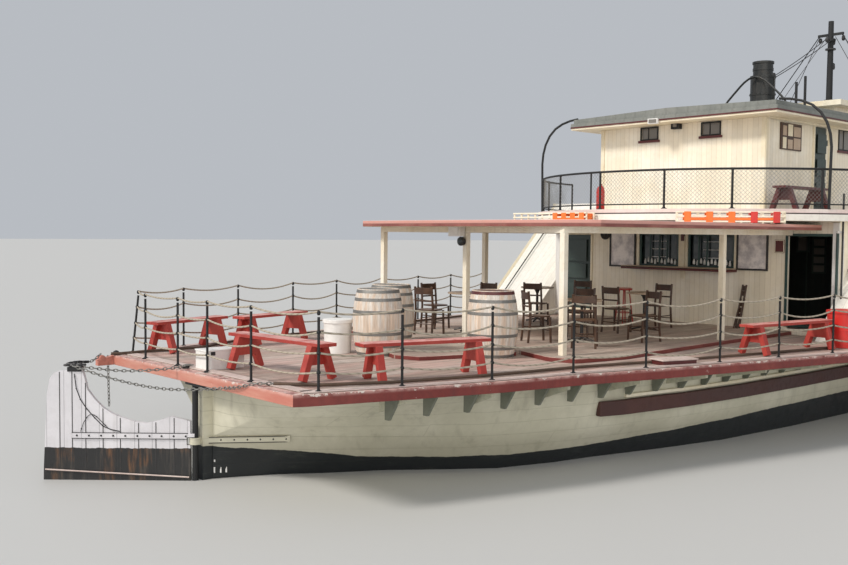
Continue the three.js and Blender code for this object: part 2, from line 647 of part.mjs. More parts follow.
function paddleBoxSolid(side) {
  const ordered = (a, b) => [side * a, side * b].sort((p, q) => p - q);
  const shell = panelY(boxOutline(0, 0), ...ordered(HOUSE.half, BOX.outer));
  const hollow = panelY(boxOutline(BOX.wall, 20), ...ordered(HOUSE.half + BOX.wall, BOX.outer - BOX.wall));
  const bearing = box(at(PADDLE.station - BEARING.half), at(PADDLE.station + BEARING.half),
    ...ordered(BOX.outer - BEARING.thick, BOX.outer - 20), DECK_TOP, PADDLE.z + BEARING.half);
  const bore = rod([at(PADDLE.station), side * (BOX.outer - BEARING.thick - 20), PADDLE.z],
    [at(PADDLE.station), side * (BOX.outer - 30), PADDLE.z], PADDLE.shaft + BEARING.play, PADDLE.sides);
  const pass = rod([at(PADDLE.station), side * (HOUSE.half - 20), PADDLE.z],
    [at(PADDLE.station), side * (HOUSE.half + 100), PADDLE.z], PADDLE.shaft + 25, 12);
  return cut(join(cut(shell, hollow), bearing), bore, pass);
}
SIDES.forEach(([name, side]) => piece(`${name}_paddle_box`, paddleBoxSolid(side), FINISH.cream));

// Paddle wheels on their shaft: rims, arms and floats
const FLOATS = 8;
const HUB_RADIUS = 190;
const RIM = { outer: 1930, inner: 1850, half: 20, from: 60 };
const ARM = { from: 150, to: 2150, half: 28 };
const FLOAT = { from: 1700, thick: 34 };

function discY(radius, y0, y1, sides) {
  return rod([0, y0, 0], [0, y1, 0], radius, sides);
}

function wheelSolid(side) {
  const [y0, y1] = [side * PADDLE.inner, side * PADDLE.outer].sort((a, b) => a - b);
  const pitch = 360 / FLOATS;
  const eye = discY(PADDLE.shaft + SEAT_GAP, y0 - 10, y1 + 10, PADDLE.sides);
  const hub = cut(discY(HUB_RADIUS, y0, y1, 12), eye);
  const parts = [hub];
  for (const y of [y0 + RIM.from, y1 - RIM.from]) {
    parts.push(cut(discY(RIM.outer, y - RIM.half, y + RIM.half, FLOATS),
      discY(RIM.inner, y - RIM.half - 5, y + RIM.half + 5, FLOATS)));
    for (let arm = 0; arm < FLOATS; arm += 1) {
      const bar = box(ARM.from, ARM.to, y - ARM.half, y + ARM.half, -ARM.half, ARM.half);
      parts.push(bar.rotate([0, (arm + 0.5) * pitch, 0]));
    }
  }
  for (let index = 0; index < FLOATS; index += 1) {
    const board = box(FLOAT.from, PADDLE.radius, y0, y1, -ARM.half - FLOAT.thick, -ARM.half + 2);
    parts.push(board.rotate([0, (index + 0.5) * pitch, 0]));
  }
  return join(parts).translate([at(PADDLE.station), 0, PADDLE.z]);
}
SIDES.forEach(([name, side]) => piece(`${name}_paddle_wheel`, wheelSolid(side), FINISH.benchRed));
const SHAFT_REACH = BOX.outer - 40;
const shaft = discY(PADDLE.shaft, -SHAFT_REACH, SHAFT_REACH, PADDLE.sides);
piece('paddle_shaft', shaft.translate([at(PADDLE.station), 0, PADDLE.z]), FINISH.iron);

// Boiler with its saddles and uptake, and the engine, inside the deckhouse
const BOILER = { from: 14150, to: 17300, z: DECK_TOP + 1250, radius: 600, saddles: [15300, 16700] };
const UPTAKE = { half: 340, top: BOILER.z + 700 };
piece('boiler', join(
  rod([at(BOILER.from), 0, BOILER.z], [at(BOILER.to), 0, BOILER.z], BOILER.radius, 16),
  BOILER.saddles.map((from) => box(at(from), at(from) + 300, -450, 450, DECK_TOP, BOILER.z - 300)),
  box(at(FUNNEL.station) - UPTAKE.half, at(FUNNEL.station) + UPTAKE.half, -UPTAKE.half, UPTAKE.half,
    BOILER.z, UPTAKE.top),
), FINISH.boiler);
piece('engine', box(at(14900), at(16900), 1000, 2000, DECK_TOP, DECK_TOP + 1100), FINISH.boiler);

// Upper cabin, its doors' openings and windows
const CABIN = { from: 11300, to: 15800, half: 2000 };
const CABIN_DOORS = { from: 13290, to: 13830, sill: UPPER_TOP + 30, top: CABIN_TOP - 40 };

function cabinSolid() {
  const room = [at(CABIN.from), at(CABIN.to), -CABIN.half, CABIN.half, UPPER_TOP, CABIN_TOP];
  const openings = [[520, 930], [-990, -580]].map(([y0, y1]) => {
    return endOpening(at(CABIN.from), y0, y1, CABIN_TOP - 275, CABIN_TOP - 25);
  });
  for (const [, side] of SIDES) {
    const y = side * CABIN.half;
    openings.push(sideOpening(CABIN_DOORS.from, CABIN_DOORS.to, y, CABIN_DOORS.sill, CABIN_DOORS.top));
    openings.push(sideOpening(14390, 14990, y, CABIN_TOP - 450, CABIN_TOP - 40));
  }
  return roomSolid(room, openings);
}
piece('upper_cabin', cabinSolid(), FINISH.cream);

const FUNNEL_HINGE = { station: FUNNEL.station - 370, z: DECK_TOP + 4725, knuckle: 28 };
const HINGE_LUG = { half: 13.5, places: [-890, -81.5, 81.5, 890] };
const ROOF = { from: 10800, to: 15790, half: 2500, lip: 110, top: 240, inset: 40 };
const ROOF_CROWN = CABIN_TOP + ROOF.top + 60;
const ROOF_PIPES = [
  // station, y, top
  [14400, -990, DECK_TOP + 5380], [14940, -920, DECK_TOP + 5580],
];

function cabinRoofSolid() {
  const base = box(at(ROOF.from), at(ROOF.to), -ROOF.half, ROOF.half, CABIN_TOP, CABIN_TOP + ROOF.lip);
  const edge = ROOF.half - ROOF.inset;
  const crown = panelX([[-edge, CABIN_TOP + ROOF.lip - 10], [edge, CABIN_TOP + ROOF.lip - 10],
    [edge, CABIN_TOP + ROOF.top], [0, CABIN_TOP + ROOF.top + 60], [-edge, CABIN_TOP + ROOF.top]],
  at(ROOF.from + ROOF.inset), at(ROOF.to));
  const hole = rod([at(FUNNEL.station), 0, 5000], [at(FUNNEL.station), 0, 7000], FUNNEL.radius + 8, 16);
  const lugs = HINGE_LUG.places.map((y) => box(at(FUNNEL_HINGE.station) - 35, at(FUNNEL_HINGE.station) + 35,
    y - HINGE_LUG.half, y + HINGE_LUG.half, CABIN_TOP + ROOF.lip, FUNNEL_HINGE.z + 35));
  const pipes = ROOF_PIPES.map(([station, y, top]) => {
    return rod([at(station), y, CABIN_TOP + ROOF.lip], [at(station), y, top], 32, 8);
  });
  return join(cut(join(base, crown), hole), lugs, pipes);
}
piece('cabin_roof', cabinRoofSolid(), FINISH.roof);

// Wheelhouse with windows all round
const HELM = { from: 15860, to: 17700, half: 1150, floor: UPPER_TOP + 480, sill: UPPER_TOP + 1250,
  head: WHEELHOUSE_TOP - 250 };
const HELM_STAND = 17150;
const HELM_DOOR = { from: 16000, to: 16650, top: WHEELHOUSE_TOP - 200, sill: UPPER_TOP + 500 };

function wheelhouseSolid() {
  const room = [at(HELM.from), at(HELM.to), -HELM.half, HELM.half, UPPER_TOP, WHEELHOUSE_TOP];
  const openings = [];
  for (const [y0, y1] of [[-1000, -370], [-310, 310], [370, 1000]]) {
    openings.push(endOpening(at(HELM.to), y0, y1, HELM.sill, HELM.head));
  }
  openings.push(sideOpening(16900, 17560, HELM.half, HELM.sill, HELM.head));
  openings.push(sideOpening(16900, 17560, -HELM.half, HELM.sill, HELM.head));
  openings.push(sideOpening(16050, 16750, -HELM.half, HELM.sill, HELM.head));
  openings.push(sideOpening(HELM_DOOR.from, HELM_DOOR.to, HELM.half, HELM_DOOR.sill, HELM_DOOR.top));
  const floor = box(at(HELM.from) + 30, at(HELM.to) - 30, 30 - HELM.half, HELM.half - 30,
    HELM.floor - 60, HELM.floor);
  const stand = box(at(HELM_STAND), at(HELM_STAND) + 110, -90, 90, HELM.floor - 10, HELM.floor + 980);
  return join(roomSolid(room, openings), floor, stand);
}
piece('wheelhouse', wheelhouseSolid(), FINISH.cream);
const helmRoof = box(at(15600), at(17880), -1450, 1450, WHEELHOUSE_TOP, WHEELHOUSE_TOP + 130);
piece('wheelhouse_roof', helmRoof, FINISH.roof);

// Steering wheel on its short axle
const STEERING = { station: 17060, z: HELM.floor + 800, radius: 560 };
function steeringWheelSolid() {
  const rim = cut(rod([-25, 0, 0], [25, 0, 0], 440, 16), rod([-40, 0, 0], [40, 0, 0], 370, 16));
  const hub = rod([-45, 0, 0], [HELM_STAND - STEERING.station - 0.5, 0, 0], 80, 8);
  const spokes = [];
  for (let index = 0; index < 8; index += 1) {
    spokes.push(rod([0, 0, 40], [0, 0, STEERING.radius], 17, 4).rotate([(360 * index) / 8, 0, 0]));
  }
  return join(rim, hub, spokes);
}
piece('steering_wheel', steeringWheelSolid().translate([at(STEERING.station), 0, STEERING.z]), FINISH.spar);

// Funnel: the fixed casing below, and the part above the roof that lowers aft with the hoop that holds it
piece('funnel_casing', join(
  rod([at(FUNNEL.station), 0, UPTAKE.top], [at(FUNNEL.station), 0, FUNNEL.joint - 0.5], FUNNEL.radius, 16),
  rod([at(FUNNEL.station), 0, ROOF_CROWN + 3], [at(FUNNEL.station), 0, ROOF_CROWN + 33], FUNNEL.collar, 16),
), FINISH.black);

const FUNNEL_ARCH = [
  // y, z
  [-848, FUNNEL_HINGE.z], [-780, 6460], [-480, 6790], [-190, 7040], [0, 7096],
  [190, 7040], [480, 6790], [780, 6460], [848, FUNNEL_HINGE.z],
];

function funnelSolid() {
  const x = at(FUNNEL.station);
  const shell = join(
    rod([x, 0, FUNNEL.joint], [x, 0, DECK_TOP + 5650], FUNNEL.radius, 16),
    rod([x, 0, DECK_TOP + 5640], [x, 0, FUNNEL.top], 225, 16),
    rod([x, 0, FUNNEL.top - 50], [x, 0, FUNNEL.top], 245, 16),
  );
  const flue = rod([x, 0, FUNNEL.joint - 50], [x, 0, FUNNEL.top + 50], 190, 16);
  const lug = box(x + 200, x + 420, -20, 20, DECK_TOP + 5560, DECK_TOP + 5700);
  const knuckle = rod([at(FUNNEL_HINGE.station), -67.5, FUNNEL_HINGE.z],
    [at(FUNNEL_HINGE.station), 67.5, FUNNEL_HINGE.z], FUNNEL_HINGE.knuckle, 8);
  const strap = box(at(FUNNEL_HINGE.station), x - 230, -60, 60, FUNNEL.joint + 10, FUNNEL.joint + 50);
  const arch = pipe(FUNNEL_ARCH.map(([y, z]) => [at(FUNNEL_HINGE.station), y, z]), 24, 6, 18);
  const feet = [-1, 1].map((sign) => {
    const [y0, y1] = [sign * 820, sign * 876].sort((p, q) => p - q);
    return rod([at(FUNNEL_HINGE.station), y0, FUNNEL_HINGE.z], [at(FUNNEL_HINGE.station), y1, FUNNEL_HINGE.z],
      FUNNEL_HINGE.knuckle, 8);
  });
  const tie = box(at(FUNNEL_HINGE.station), x - 200, -20, 20, DECK_TOP + 5575, DECK_TOP + 5615);
  return join(cut(shell, flue), lug, knuckle, strap, arch, feet, tie);
}
piece('funnel', funnelSolid(), FINISH.black);

// Mast with its crosstree, the collar that carries the boom, and the main stays to the upper deck's sides
const BOOM = { station: 18270, z: DECK_TOP + 3400, length: 7200, rise: 20, radius: 75, fork: 82 };
const STAY = { station: 17100, y: 3300, clear: 7.5, radius: 12, head: DECK_TOP + 7060 };
piece('mast', join(
  rod([at(MAST.station), 0, DECK_TOP], [at(MAST.station), 0, MAST.top], MAST.radius, 12, 65),
  rod([at(MAST.station), 0, DECK_TOP + 6900], [at(MAST.station), 0, DECK_TOP + 6960], 120, 12),
  rod([at(MAST.station), 0, BOOM.z - 170], [at(MAST.station), 0, BOOM.z - 130.5], 150, 12),
  box(at(MAST.station) - 30, at(MAST.station) + 30, -330, 330, STAY.head - 20, STAY.head + 40),
  SIDES.map(([, side]) => rod([at(MAST.station), side * 300, STAY.head], [at(STAY.station), side * STAY.y,
    UPPER_TOP + STAY.clear], STAY.radius, 6)),
), FINISH.black);

// Cargo boom on its swivel before the mast
function boomEnd() {
  const rise = THREE.MathUtils.degToRad(BOOM.rise);
  return [at(BOOM.station) + BOOM.length * Math.cos(rise), 0, BOOM.z + BOOM.length * Math.sin(rise)];
}

function goosenecks() {
  const ring = cut(
    rod([at(MAST.station), 0, BOOM.z - 130], [at(MAST.station), 0, BOOM.z + 130], 165, 16),
    rod([at(MAST.station), 0, BOOM.z - 150], [at(MAST.station), 0, BOOM.z + 150], 102, 16),
  );
  const cheeks = [-1, 1].map((sign) => {
    const [y0, y1] = [sign * BOOM.fork, sign * (BOOM.fork + 25)].sort((a, b) => a - b);
    return box(at(MAST.station) + 110, at(BOOM.station) + 60, y0, y1, BOOM.z - 60, BOOM.z + 60);
  });
  return join(ring, cheeks);
}
piece('boom_gooseneck', goosenecks(), FINISH.iron);
piece('cargo_boom', join(
  rod([at(BOOM.station), 0, BOOM.z], boomEnd(), BOOM.radius, 10, 55),
  rod([at(BOOM.station), 0.5 - BOOM.fork, BOOM.z], [at(BOOM.station), BOOM.fork - 0.5, BOOM.z], 50, 10),
), FINISH.spar);

// Half hoops from the upper deck's edge to the cabin roof
const HOOP = { station: 10970, y: 3480, radius: 26 };
const HOOP_ROUTE = [
  // y, z
  [HOOP.y, UPPER_TOP + SEAT_GAP], [HOOP.y + 10, 4700], [HOOP.y + 8, 5200], [3390, 5540], [3170, 5820],
  [2820, 5985], [ROOF.half - 50, CABIN_TOP + ROOF.top + HOOP.radius + 2],
];
SIDES.forEach(([name, side]) => {
  const route = HOOP_ROUTE.map(([y, z]) => [at(HOOP.station), side * y, z]);
  piece(`${name}_hoop`, pipe(route, HOOP.radius, 6, 12), FINISH.black);
});

// Rails on the main deck: posts joined by a line
const RAIL = { height: 900, post: 15, line: 8, inset: 140 };

function lineRail(posts) {
  const parts = posts.map(([station, y, base]) => {
    const { post, height } = RAIL;
    return box(at(station) - post, at(station) + post, y - post, y + post, base, base + height);
  });
  for (let index = 0; index + 1 < posts.length; index += 1) {
    const [s0, y0, b0] = posts[index];
    const [s1, y1, b1] = posts[index + 1];
    parts.push(rod([at(s0), y0, b0 + RAIL.height - 25], [at(s1), y1, b1 + RAIL.height - 25], RAIL.line, 4));
  }
  return join(parts);
}

function sidePost(station, side) {
  const base = station > SHEER_START - RAIL.post * 2 ? deckTop(station + RAIL.post) + 0.4 : DECK_TOP;
  return [station, side * (along(DECK_EDGE, 1, station) - RAIL.inset), base];
}
const AFT_STATIONS = [200, 1250, 2500, 3840, 5090, 6510, 7780, 9030, 10350];
const FORE_STATIONS = [18400, 20200, 22000, 23800, 25600, 27400, 29200, 31000, 32300, 33300];
const STERN_POSTS = [1660, 660, -170, -1275].map((y) => [15, y, DECK_TOP]);
const sidePosts = (stations, side) => stations.map((station) => sidePost(station, side));
piece('after_rail', lineRail([
  ...sidePosts(AFT_STATIONS, 1).reverse(),
  ...STERN_POSTS,
  ...sidePosts(AFT_STATIONS, -1),
]), FINISH.black);
piece('fore_rail', lineRail([
  ...sidePosts(FORE_STATIONS, 1),
  ...sidePosts(FORE_STATIONS, -1).reverse(),
]), FINISH.black);

// Pipe rails round the upper deck
const PIPE_RAIL = {
  height: 740, radius: 20, inset: 110, foot: 90,
  // posts, in degrees to starboard of right aft
  bearings: [-84, -64, -44, -24, -4.3, 16.3, 34.4, 58.5, 82],
};

function pipeRail(points, base) {
  const { height, radius, foot } = PIPE_RAIL;
  const parts = points.map(([station, y]) => {
    return rod([at(station), y, base], [at(station), y, base + height], radius, 4);
  });
  for (let index = 0; index + 1 < points.length; index += 1) {
    const [s0, y0] = points[index];
    const [s1, y1] = points[index + 1];
    for (const z of [base + height - radius, base + foot]) {
      parts.push(rod([at(s0), y0, z], [at(s1), y1, z], radius * 0.85, 4));
    }
  }
  return join(parts);
}

const RAIL_SIDE = UPPER.radius - PIPE_RAIL.inset;
function afterRailPoints() {
  const points = [];
  for (const degrees of PIPE_RAIL.bearings) {
    const angle = THREE.MathUtils.degToRad(180 + degrees);
    points.push([UPPER.centre + RAIL_SIDE * Math.cos(angle), RAIL_SIDE * Math.sin(angle)]);
  }
  return points;
}
piece('upper_aft_rail', pipeRail(afterRailPoints(), UPPER_TOP), FINISH.black);
piece('upper_fore_rail', pipeRail([
  [16350, RAIL_SIDE], [18750, RAIL_SIDE], [19300, 3300], [19300, 0],
  [19300, -3300], [18750, -RAIL_SIDE], [16350, -RAIL_SIDE],
], UPPER_TOP), FINISH.black);

// Float racks that lie on the awning roof round the upper deck's after end
const RACKS = [['starboard_float_rack', 9360, -2420, 53], ['port_float_rack', 8740, 1230, 88]];
for (const [name, station, y, heading] of RACKS) {
  const outer = box(-950, 950, -150, 150, 0, 220);
  const inner = [box(-830, -60, -60, 60, -10, 230), box(60, 830, -60, 60, -10, 230)];
  piece(name, cut(outer, inner).rotate([0, 0, -heading]).translate([at(station), y, AWNING_TOP + SEAT_GAP]),
    FINISH.orange);
}

// Hinged doors. A leaf is drawn from its hinge pin: u runs across the doorway and v out of the wall.
// It lies inside the wall's thickness, and its knuckles stand against the wall's face.
const LEAF = { thick: 40, back: 10, clear: 8, knuckle: 15, plate: 50, gap: 0.3 };

function leafSolid(width, height) {
  const face = -LEAF.knuckle - LEAF.gap - LEAF.back;
  const leaf = box(LEAF.clear, width - LEAF.clear, face - LEAF.thick, face, LEAF.clear, height - LEAF.clear);
  const hinges = [0.18, 0.82].map((share) => {
    const z = share * height;
    return join(rod([0, 0, z - 60], [0, 0, z + 60], LEAF.knuckle, 8),
      box(5, LEAF.plate, face - 10, LEAF.knuckle - 5, z - 50, z + 50));
  });
  return join(leaf, hinges);
}

// Stands a leaf at its hinge, with u and v along the given directions.
function standLeaf(leaf, u, v, hinge) {
  return leaf.transform([u[0], u[1], 0, 0, v[0], v[1], 0, 0, 0, 0, 1, 0, ...hinge, 1]);
}
const WALL_FACE = LEAF.knuckle + LEAF.gap;
const houseLeaf = leafSolid(HOUSE_DOOR.high - HOUSE_DOOR.low, HOUSE_DOOR.top - HOUSE_DOOR.sill);
piece('port_saloon_door', standLeaf(houseLeaf, [0, -1], [-1, 0],
  [at(HOUSE.from) - WALL_FACE, HOUSE_DOOR.high, HOUSE_DOOR.sill]), FINISH.green);
piece('starboard_saloon_door', standLeaf(houseLeaf, [1, 0], [0, -1],
  [at(HOUSE.from) + WALL + WALL_FACE, -HOUSE_DOOR.high, HOUSE_DOOR.sill]), FINISH.green);
const cabinLeaf = leafSolid(CABIN_DOORS.to - CABIN_DOORS.from, CABIN_DOORS.top - CABIN_DOORS.sill);
SIDES.forEach(([name, side]) => {
  piece(`${name}_cabin_door`, standLeaf(cabinLeaf, [-1, 0], [0, side],
    [at(CABIN_DOORS.to), side * (CABIN.half + WALL_FACE), CABIN_DOORS.sill]), FINISH.green);
});
const helmLeaf = leafSolid(HELM_DOOR.to - HELM_DOOR.from, HELM_DOOR.top - HELM_DOOR.sill);
piece('wheelhouse_door', standLeaf(helmLeaf, [-1, 0], [0, 1],
  [at(HELM_DOOR.to), HELM.half + WALL_FACE, HELM_DOOR.sill]), FINISH.green);

// What stands on the sheered foredeck is cut to the deck's slope.
const underDeck = skin(DECK_STATIONS.map((station) => {
  const top = deckTop(station) + SEAT_GAP;
  return [[3000, 0], [3000, top], [-3000, top], [-3000, 0]].map(([y, z]) => [at(station), y, z]);
}));

// Cargo hatch: the coaming round the hold and its hinged lid
const COAMING = { top: 1860, wall: 60, lip: 90 };

function hatchBlock(grow, z0, z1) {
  const half = HOLD.half + grow;
  return box(at(HOLD.from) - grow, at(HOLD.to) + grow, -half, half, z0, z1);
}
piece('hatch_coaming', cut(
  hatchBlock(COAMING.wall, DECK_TOP - 50, COAMING.top),
  hatchBlock(0, 1000, 2200),
  underDeck,
), FINISH.maroon);

const LID_HINGE = {
  station: HOLD.to + COAMING.lip + 20, z: COAMING.top + 30, radius: 26, places: [-700, 700],
};
piece('hatch_lid', join(
  hatchBlock(COAMING.lip, COAMING.top + SEAT_GAP, COAMING.top + 60),
  LID_HINGE.places.map((y) => rod([at(LID_HINGE.station), y - 90, LID_HINGE.z],
    [at(LID_HINGE.station), y + 90, LID_HINGE.z], LID_HINGE.radius, 8)),
), FINISH.deck);

// Mooring bitts on the foredeck
const BITTS = { station: 31300, spacing: 220, half: 80, top: 2300, bar: 2010 };
piece('bow_bitts', cut(join(
  [-1, 1].map((sign) => box(at(BITTS.station) - BITTS.half, at(BITTS.station) + BITTS.half,
    sign * BITTS.spacing - BITTS.half, sign * BITTS.spacing + BITTS.half, DECK_TOP, BITTS.top)),
  box(at(BITTS.station) - 60, at(BITTS.station) + 60, -340, 340, BITTS.bar, BITTS.bar + 120),
), underDeck), FINISH.black);

export default steamer;
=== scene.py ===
"""A river paddle steamer lying afloat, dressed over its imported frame."""
import json
import logging
import math
from dataclasses import dataclass, field
from enum import Enum

import bmesh
import bpy
import numpy as np
from mathutils import Matrix, Vector
from mathutils.bvhtree import BVHTree

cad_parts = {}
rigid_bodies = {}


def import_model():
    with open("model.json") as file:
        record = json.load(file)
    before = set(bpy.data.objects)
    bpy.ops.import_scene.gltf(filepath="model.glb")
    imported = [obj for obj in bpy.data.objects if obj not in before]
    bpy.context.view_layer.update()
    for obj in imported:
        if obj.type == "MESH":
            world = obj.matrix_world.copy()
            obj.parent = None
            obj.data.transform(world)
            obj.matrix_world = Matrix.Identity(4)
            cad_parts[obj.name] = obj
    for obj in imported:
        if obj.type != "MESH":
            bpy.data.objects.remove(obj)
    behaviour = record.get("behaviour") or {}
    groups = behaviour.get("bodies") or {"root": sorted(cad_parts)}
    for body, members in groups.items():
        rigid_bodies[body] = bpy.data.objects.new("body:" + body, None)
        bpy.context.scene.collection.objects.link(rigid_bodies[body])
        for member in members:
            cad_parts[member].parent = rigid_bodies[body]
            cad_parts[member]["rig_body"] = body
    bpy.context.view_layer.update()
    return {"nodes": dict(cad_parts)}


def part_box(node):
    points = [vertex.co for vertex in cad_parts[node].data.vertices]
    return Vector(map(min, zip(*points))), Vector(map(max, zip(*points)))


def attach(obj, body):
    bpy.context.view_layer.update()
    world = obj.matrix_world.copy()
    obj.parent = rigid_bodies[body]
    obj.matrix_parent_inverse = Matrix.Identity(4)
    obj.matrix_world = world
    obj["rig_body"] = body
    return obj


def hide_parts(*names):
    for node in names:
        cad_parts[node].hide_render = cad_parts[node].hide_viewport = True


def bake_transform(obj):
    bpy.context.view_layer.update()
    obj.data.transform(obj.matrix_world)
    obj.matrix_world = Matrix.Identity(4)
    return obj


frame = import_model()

LOG = logging.getLogger("steamer")

Array = np.ndarray
Item = bpy.types.Object
Node = bpy.types.Node
Socket = bpy.types.NodeSocket
Shape = tuple[Array, list[Array]]
Colour = tuple[float, float, float]

STERN = -17.0
DECK = 1.50
UPPER = 3.92
SHEER_FROM = 24.0
SHEER_RISE = 0.45
RUDDER_TURN = math.radians(-41.8)
BLADE_AFT = np.array((-math.cos(RUDDER_TURN), -math.sin(RUDDER_TURN), 0.0))
BLADE_SIDE = np.array((math.sin(RUDDER_TURN), -math.cos(RUDDER_TURN), 0.0))
STOCK = np.array((-17.075, 0.0, 0.0))
EDGE = np.array([(0, 2.56), (1.28, 2.94), (2.56, 3.29), (3.91, 3.54), (5.2, 3.86), (6.57, 4.17), (7.87, 4.44),
        (9.16, 4.72), (10.5, 5.0), (11.5, 5.2), (17.6, 5.2), (20, 4.76), (22, 4.42), (24, 4.1), (26, 3.8),
        (28, 3.35), (30, 2.76), (32, 1.85), (33.2, 1.02), (34.2, 0.24)])
HULL_SIDE = np.array([(5.3, 2.6, 3.09, 3.25), (6.6, 2.92, 3.3, 3.4), (8, 3.2, 3.42, 3.47),
        (10, 3.35, 3.48, 3.5), (13, 3.43, 3.5, 3.5), (22, 3.43, 3.5, 3.5), (24, 3.38, 3.47, 3.49),
        (26, 3.18, 3.33, 3.4), (28, 2.75, 2.95, 3.1)])


# ---------------------------------------------------------------- surfaces

def at(station: float, y: float, z: float) -> Array:
    """The point at a station forward of the stern, in the frame's metres."""
    return np.array((station + STERN, y, z), float)


def ats(stations: Array, y: Array, z: Array) -> Array:
    """Points at many stations at once, one row each."""
    return np.stack(np.broadcast_arrays(np.asarray(stations, float) + STERN, y, z), -1)


def sheer(station: Array) -> Array:
    """Rise of the fore deck: 0.45 m times the square of (station - 24) / 10, nothing abaft station 24."""
    return SHEER_RISE * (np.maximum(np.asarray(station, float) - SHEER_FROM, 0) / 10) ** 2


def edge(station: Array) -> Array:
    """Half-breadth of the main deck at a station."""
    return np.interp(station, EDGE[:, 0], EDGE[:, 1])


def yaw(angles: Array) -> Array:
    """Turning matrices about the upright axis, one for each angle in radians."""
    a = np.atleast_1d(np.asarray(angles, float))
    m = np.zeros((len(a), 3, 3))
    m[:, 0, 0] = m[:, 1, 1] = np.cos(a)
    m[:, 0, 1], m[:, 1, 0], m[:, 2, 2] = -np.sin(a), np.sin(a), 1
    return m


def axes(ahead: Array, aside: Array) -> Array:
    """A frame whose first column is ahead and whose third is as near aside as it can be.

    Args:
        ahead: Direction of the first axis.
        aside: Rough direction of the third axis.
    Returns:
        A 3 by 3 matrix with unit columns.
    """
    x = np.asarray(ahead, float) / np.linalg.norm(ahead)
    y = np.cross(aside, x)
    y /= np.linalg.norm(y)
    return np.stack((x, y, np.cross(x, y)), -1)


def blocks(centres: Array, sizes: Array, turns: Array | None = None) -> Shape:
    """Boxes, each corner being centre + turn x (corner sign x size / 2).

    Args:
        centres: One centre a row.
        sizes: Whole lengths along the box's own axes, one row or one for each box.
        turns: Turning matrices, one or one for each box.
    Returns:
        Points and faces.
    """
    centres = np.atleast_2d(np.asarray(centres, float))
    count = len(centres)
    signs = np.array([(x, y, z) for x in (-1, 1) for y in (-1, 1) for z in (-1, 1)]) / 2
    local = signs[None] * np.broadcast_to(np.asarray(sizes, float), (count, 3))[:, None]
    if turns is not None:
        local = np.einsum("nij,nkj->nki", np.broadcast_to(turns, (count, 3, 3)), local)
    quads = np.array([(0, 1, 3, 2), (4, 6, 7, 5), (0, 4, 5, 1), (2, 3, 7, 6), (0, 2, 6, 4), (1, 5, 7, 3)])
    faces = (quads[None] + 8 * np.arange(count)[:, None, None]).reshape(-1, 4)
    return (centres[:, None] + local).reshape(-1, 3), [faces]


def circle(count: int, radius: float = 1.0, height: float = 0.0, start: float = 0.0) -> Array:
    """Points round a circle in plan, each (r cos a, r sin a, height), the first at angle start."""
    a = start + np.arange(count) * 2 * np.pi / count
    return np.stack((radius * np.cos(a), radius * np.sin(a), np.full(count, height)), -1)


def grid(points: Array, wrap_u: bool = False, wrap_v: bool = True, caps: bool = True) -> Shape:
    """Quads over grids of points, point (i, j) joined to (i + 1, j + 1), with the end rings closed by caps.

    Args:
        points: Array of n grids, shape (n, rows, columns, 3).
        wrap_u: The last row joins the first.
        wrap_v: The last column joins the first.
        caps: The first and last rows are closed by one face each.
    Returns:
        Points and faces.
    """
    n, rows, cols = points.shape[:3]
    i = np.arange(rows if wrap_u else rows - 1)[:, None]
    j = np.arange(cols if wrap_v else cols - 1)[None]
    i2, j2 = (i + 1) % rows, (j + 1) % cols
    quads = np.stack(np.broadcast_arrays(i * cols + j, i * cols + j2, i2 * cols + j2, i2 * cols + j), -1)
    start = (np.arange(n) * rows * cols)[:, None, None]
    faces = [(quads.reshape(1, -1, 4) + start).reshape(-1, 4)]
    if caps and not wrap_u:
        ring = np.arange(cols)[None]
        first = start[:, 0] + ring[:, ::-1]
        faces += [first, start[:, 0] + ring + (rows - 1) * cols]
    return points.reshape(-1, 3), faces


def tubes(paths: Array, radius: Array | float, sides: int = 8, closed: bool = False,
        aspect: float = 1.0) -> Shape:
    """Round bars: point = path + r (cos a x side + aspect x sin a x up), the frame square to the path all
    along it.

    Args:
        paths: One path (m, 3) or many of the same length (n, m, 3).
        radius: One radius, or one for each point of the paths.
        sides: Sides of the section.
        closed: The paths are rings.
        aspect: Height of the section over its width.
    Returns:
        Points and faces.
    """
    paths = np.asarray(paths, float)
    paths = paths[None] if paths.ndim == 2 else paths
    ahead = np.roll(paths, -1, 1) - np.roll(paths, 1, 1) if closed else np.gradient(paths, axis=1)
    ahead /= np.linalg.norm(ahead, axis=-1, keepdims=True)
    reference = np.eye(3)[np.abs(ahead).max((0, 1)).argmin()]
    side = np.cross(ahead, reference)
    side /= np.linalg.norm(side, axis=-1, keepdims=True)
    up = np.cross(side, ahead)
    a = np.arange(sides) * 2 * np.pi / sides
    r = np.broadcast_to(radius, paths.shape[:2])[..., None, None]
    ring = np.cos(a)[:, None] * side[:, :, None] + aspect * np.sin(a)[:, None] * up[:, :, None]
    return grid(paths[:, :, None] + r * ring, wrap_u=closed)


def spans(starts: Array, ends: Array, radius: float, sag: Array | float = 0.0, steps: int = 1,
        sides: int = 8) -> Shape:
    """Straight bars or hanging lines: point = a + (b - a) t, lowered by 4 sag t (1 - t).

    Args:
        starts: One start a row.
        ends: One end a row.
        radius: Radius of the bar.
        sag: Drop at the middle, one or one for each span.
        steps: Pieces along each span.
        sides: Sides of the section.
    Returns:
        Points and faces.
    """
    a, b = np.broadcast_arrays(np.atleast_2d(starts), np.atleast_2d(ends))
    t = np.linspace(0, 1, steps + 1)
    paths = a[:, None] + (b - a)[:, None] * t[None, :, None]
    paths[..., 2] -= np.reshape(sag, (-1, 1)) * 4 * t * (1 - t)
    return tubes(paths, radius, sides)


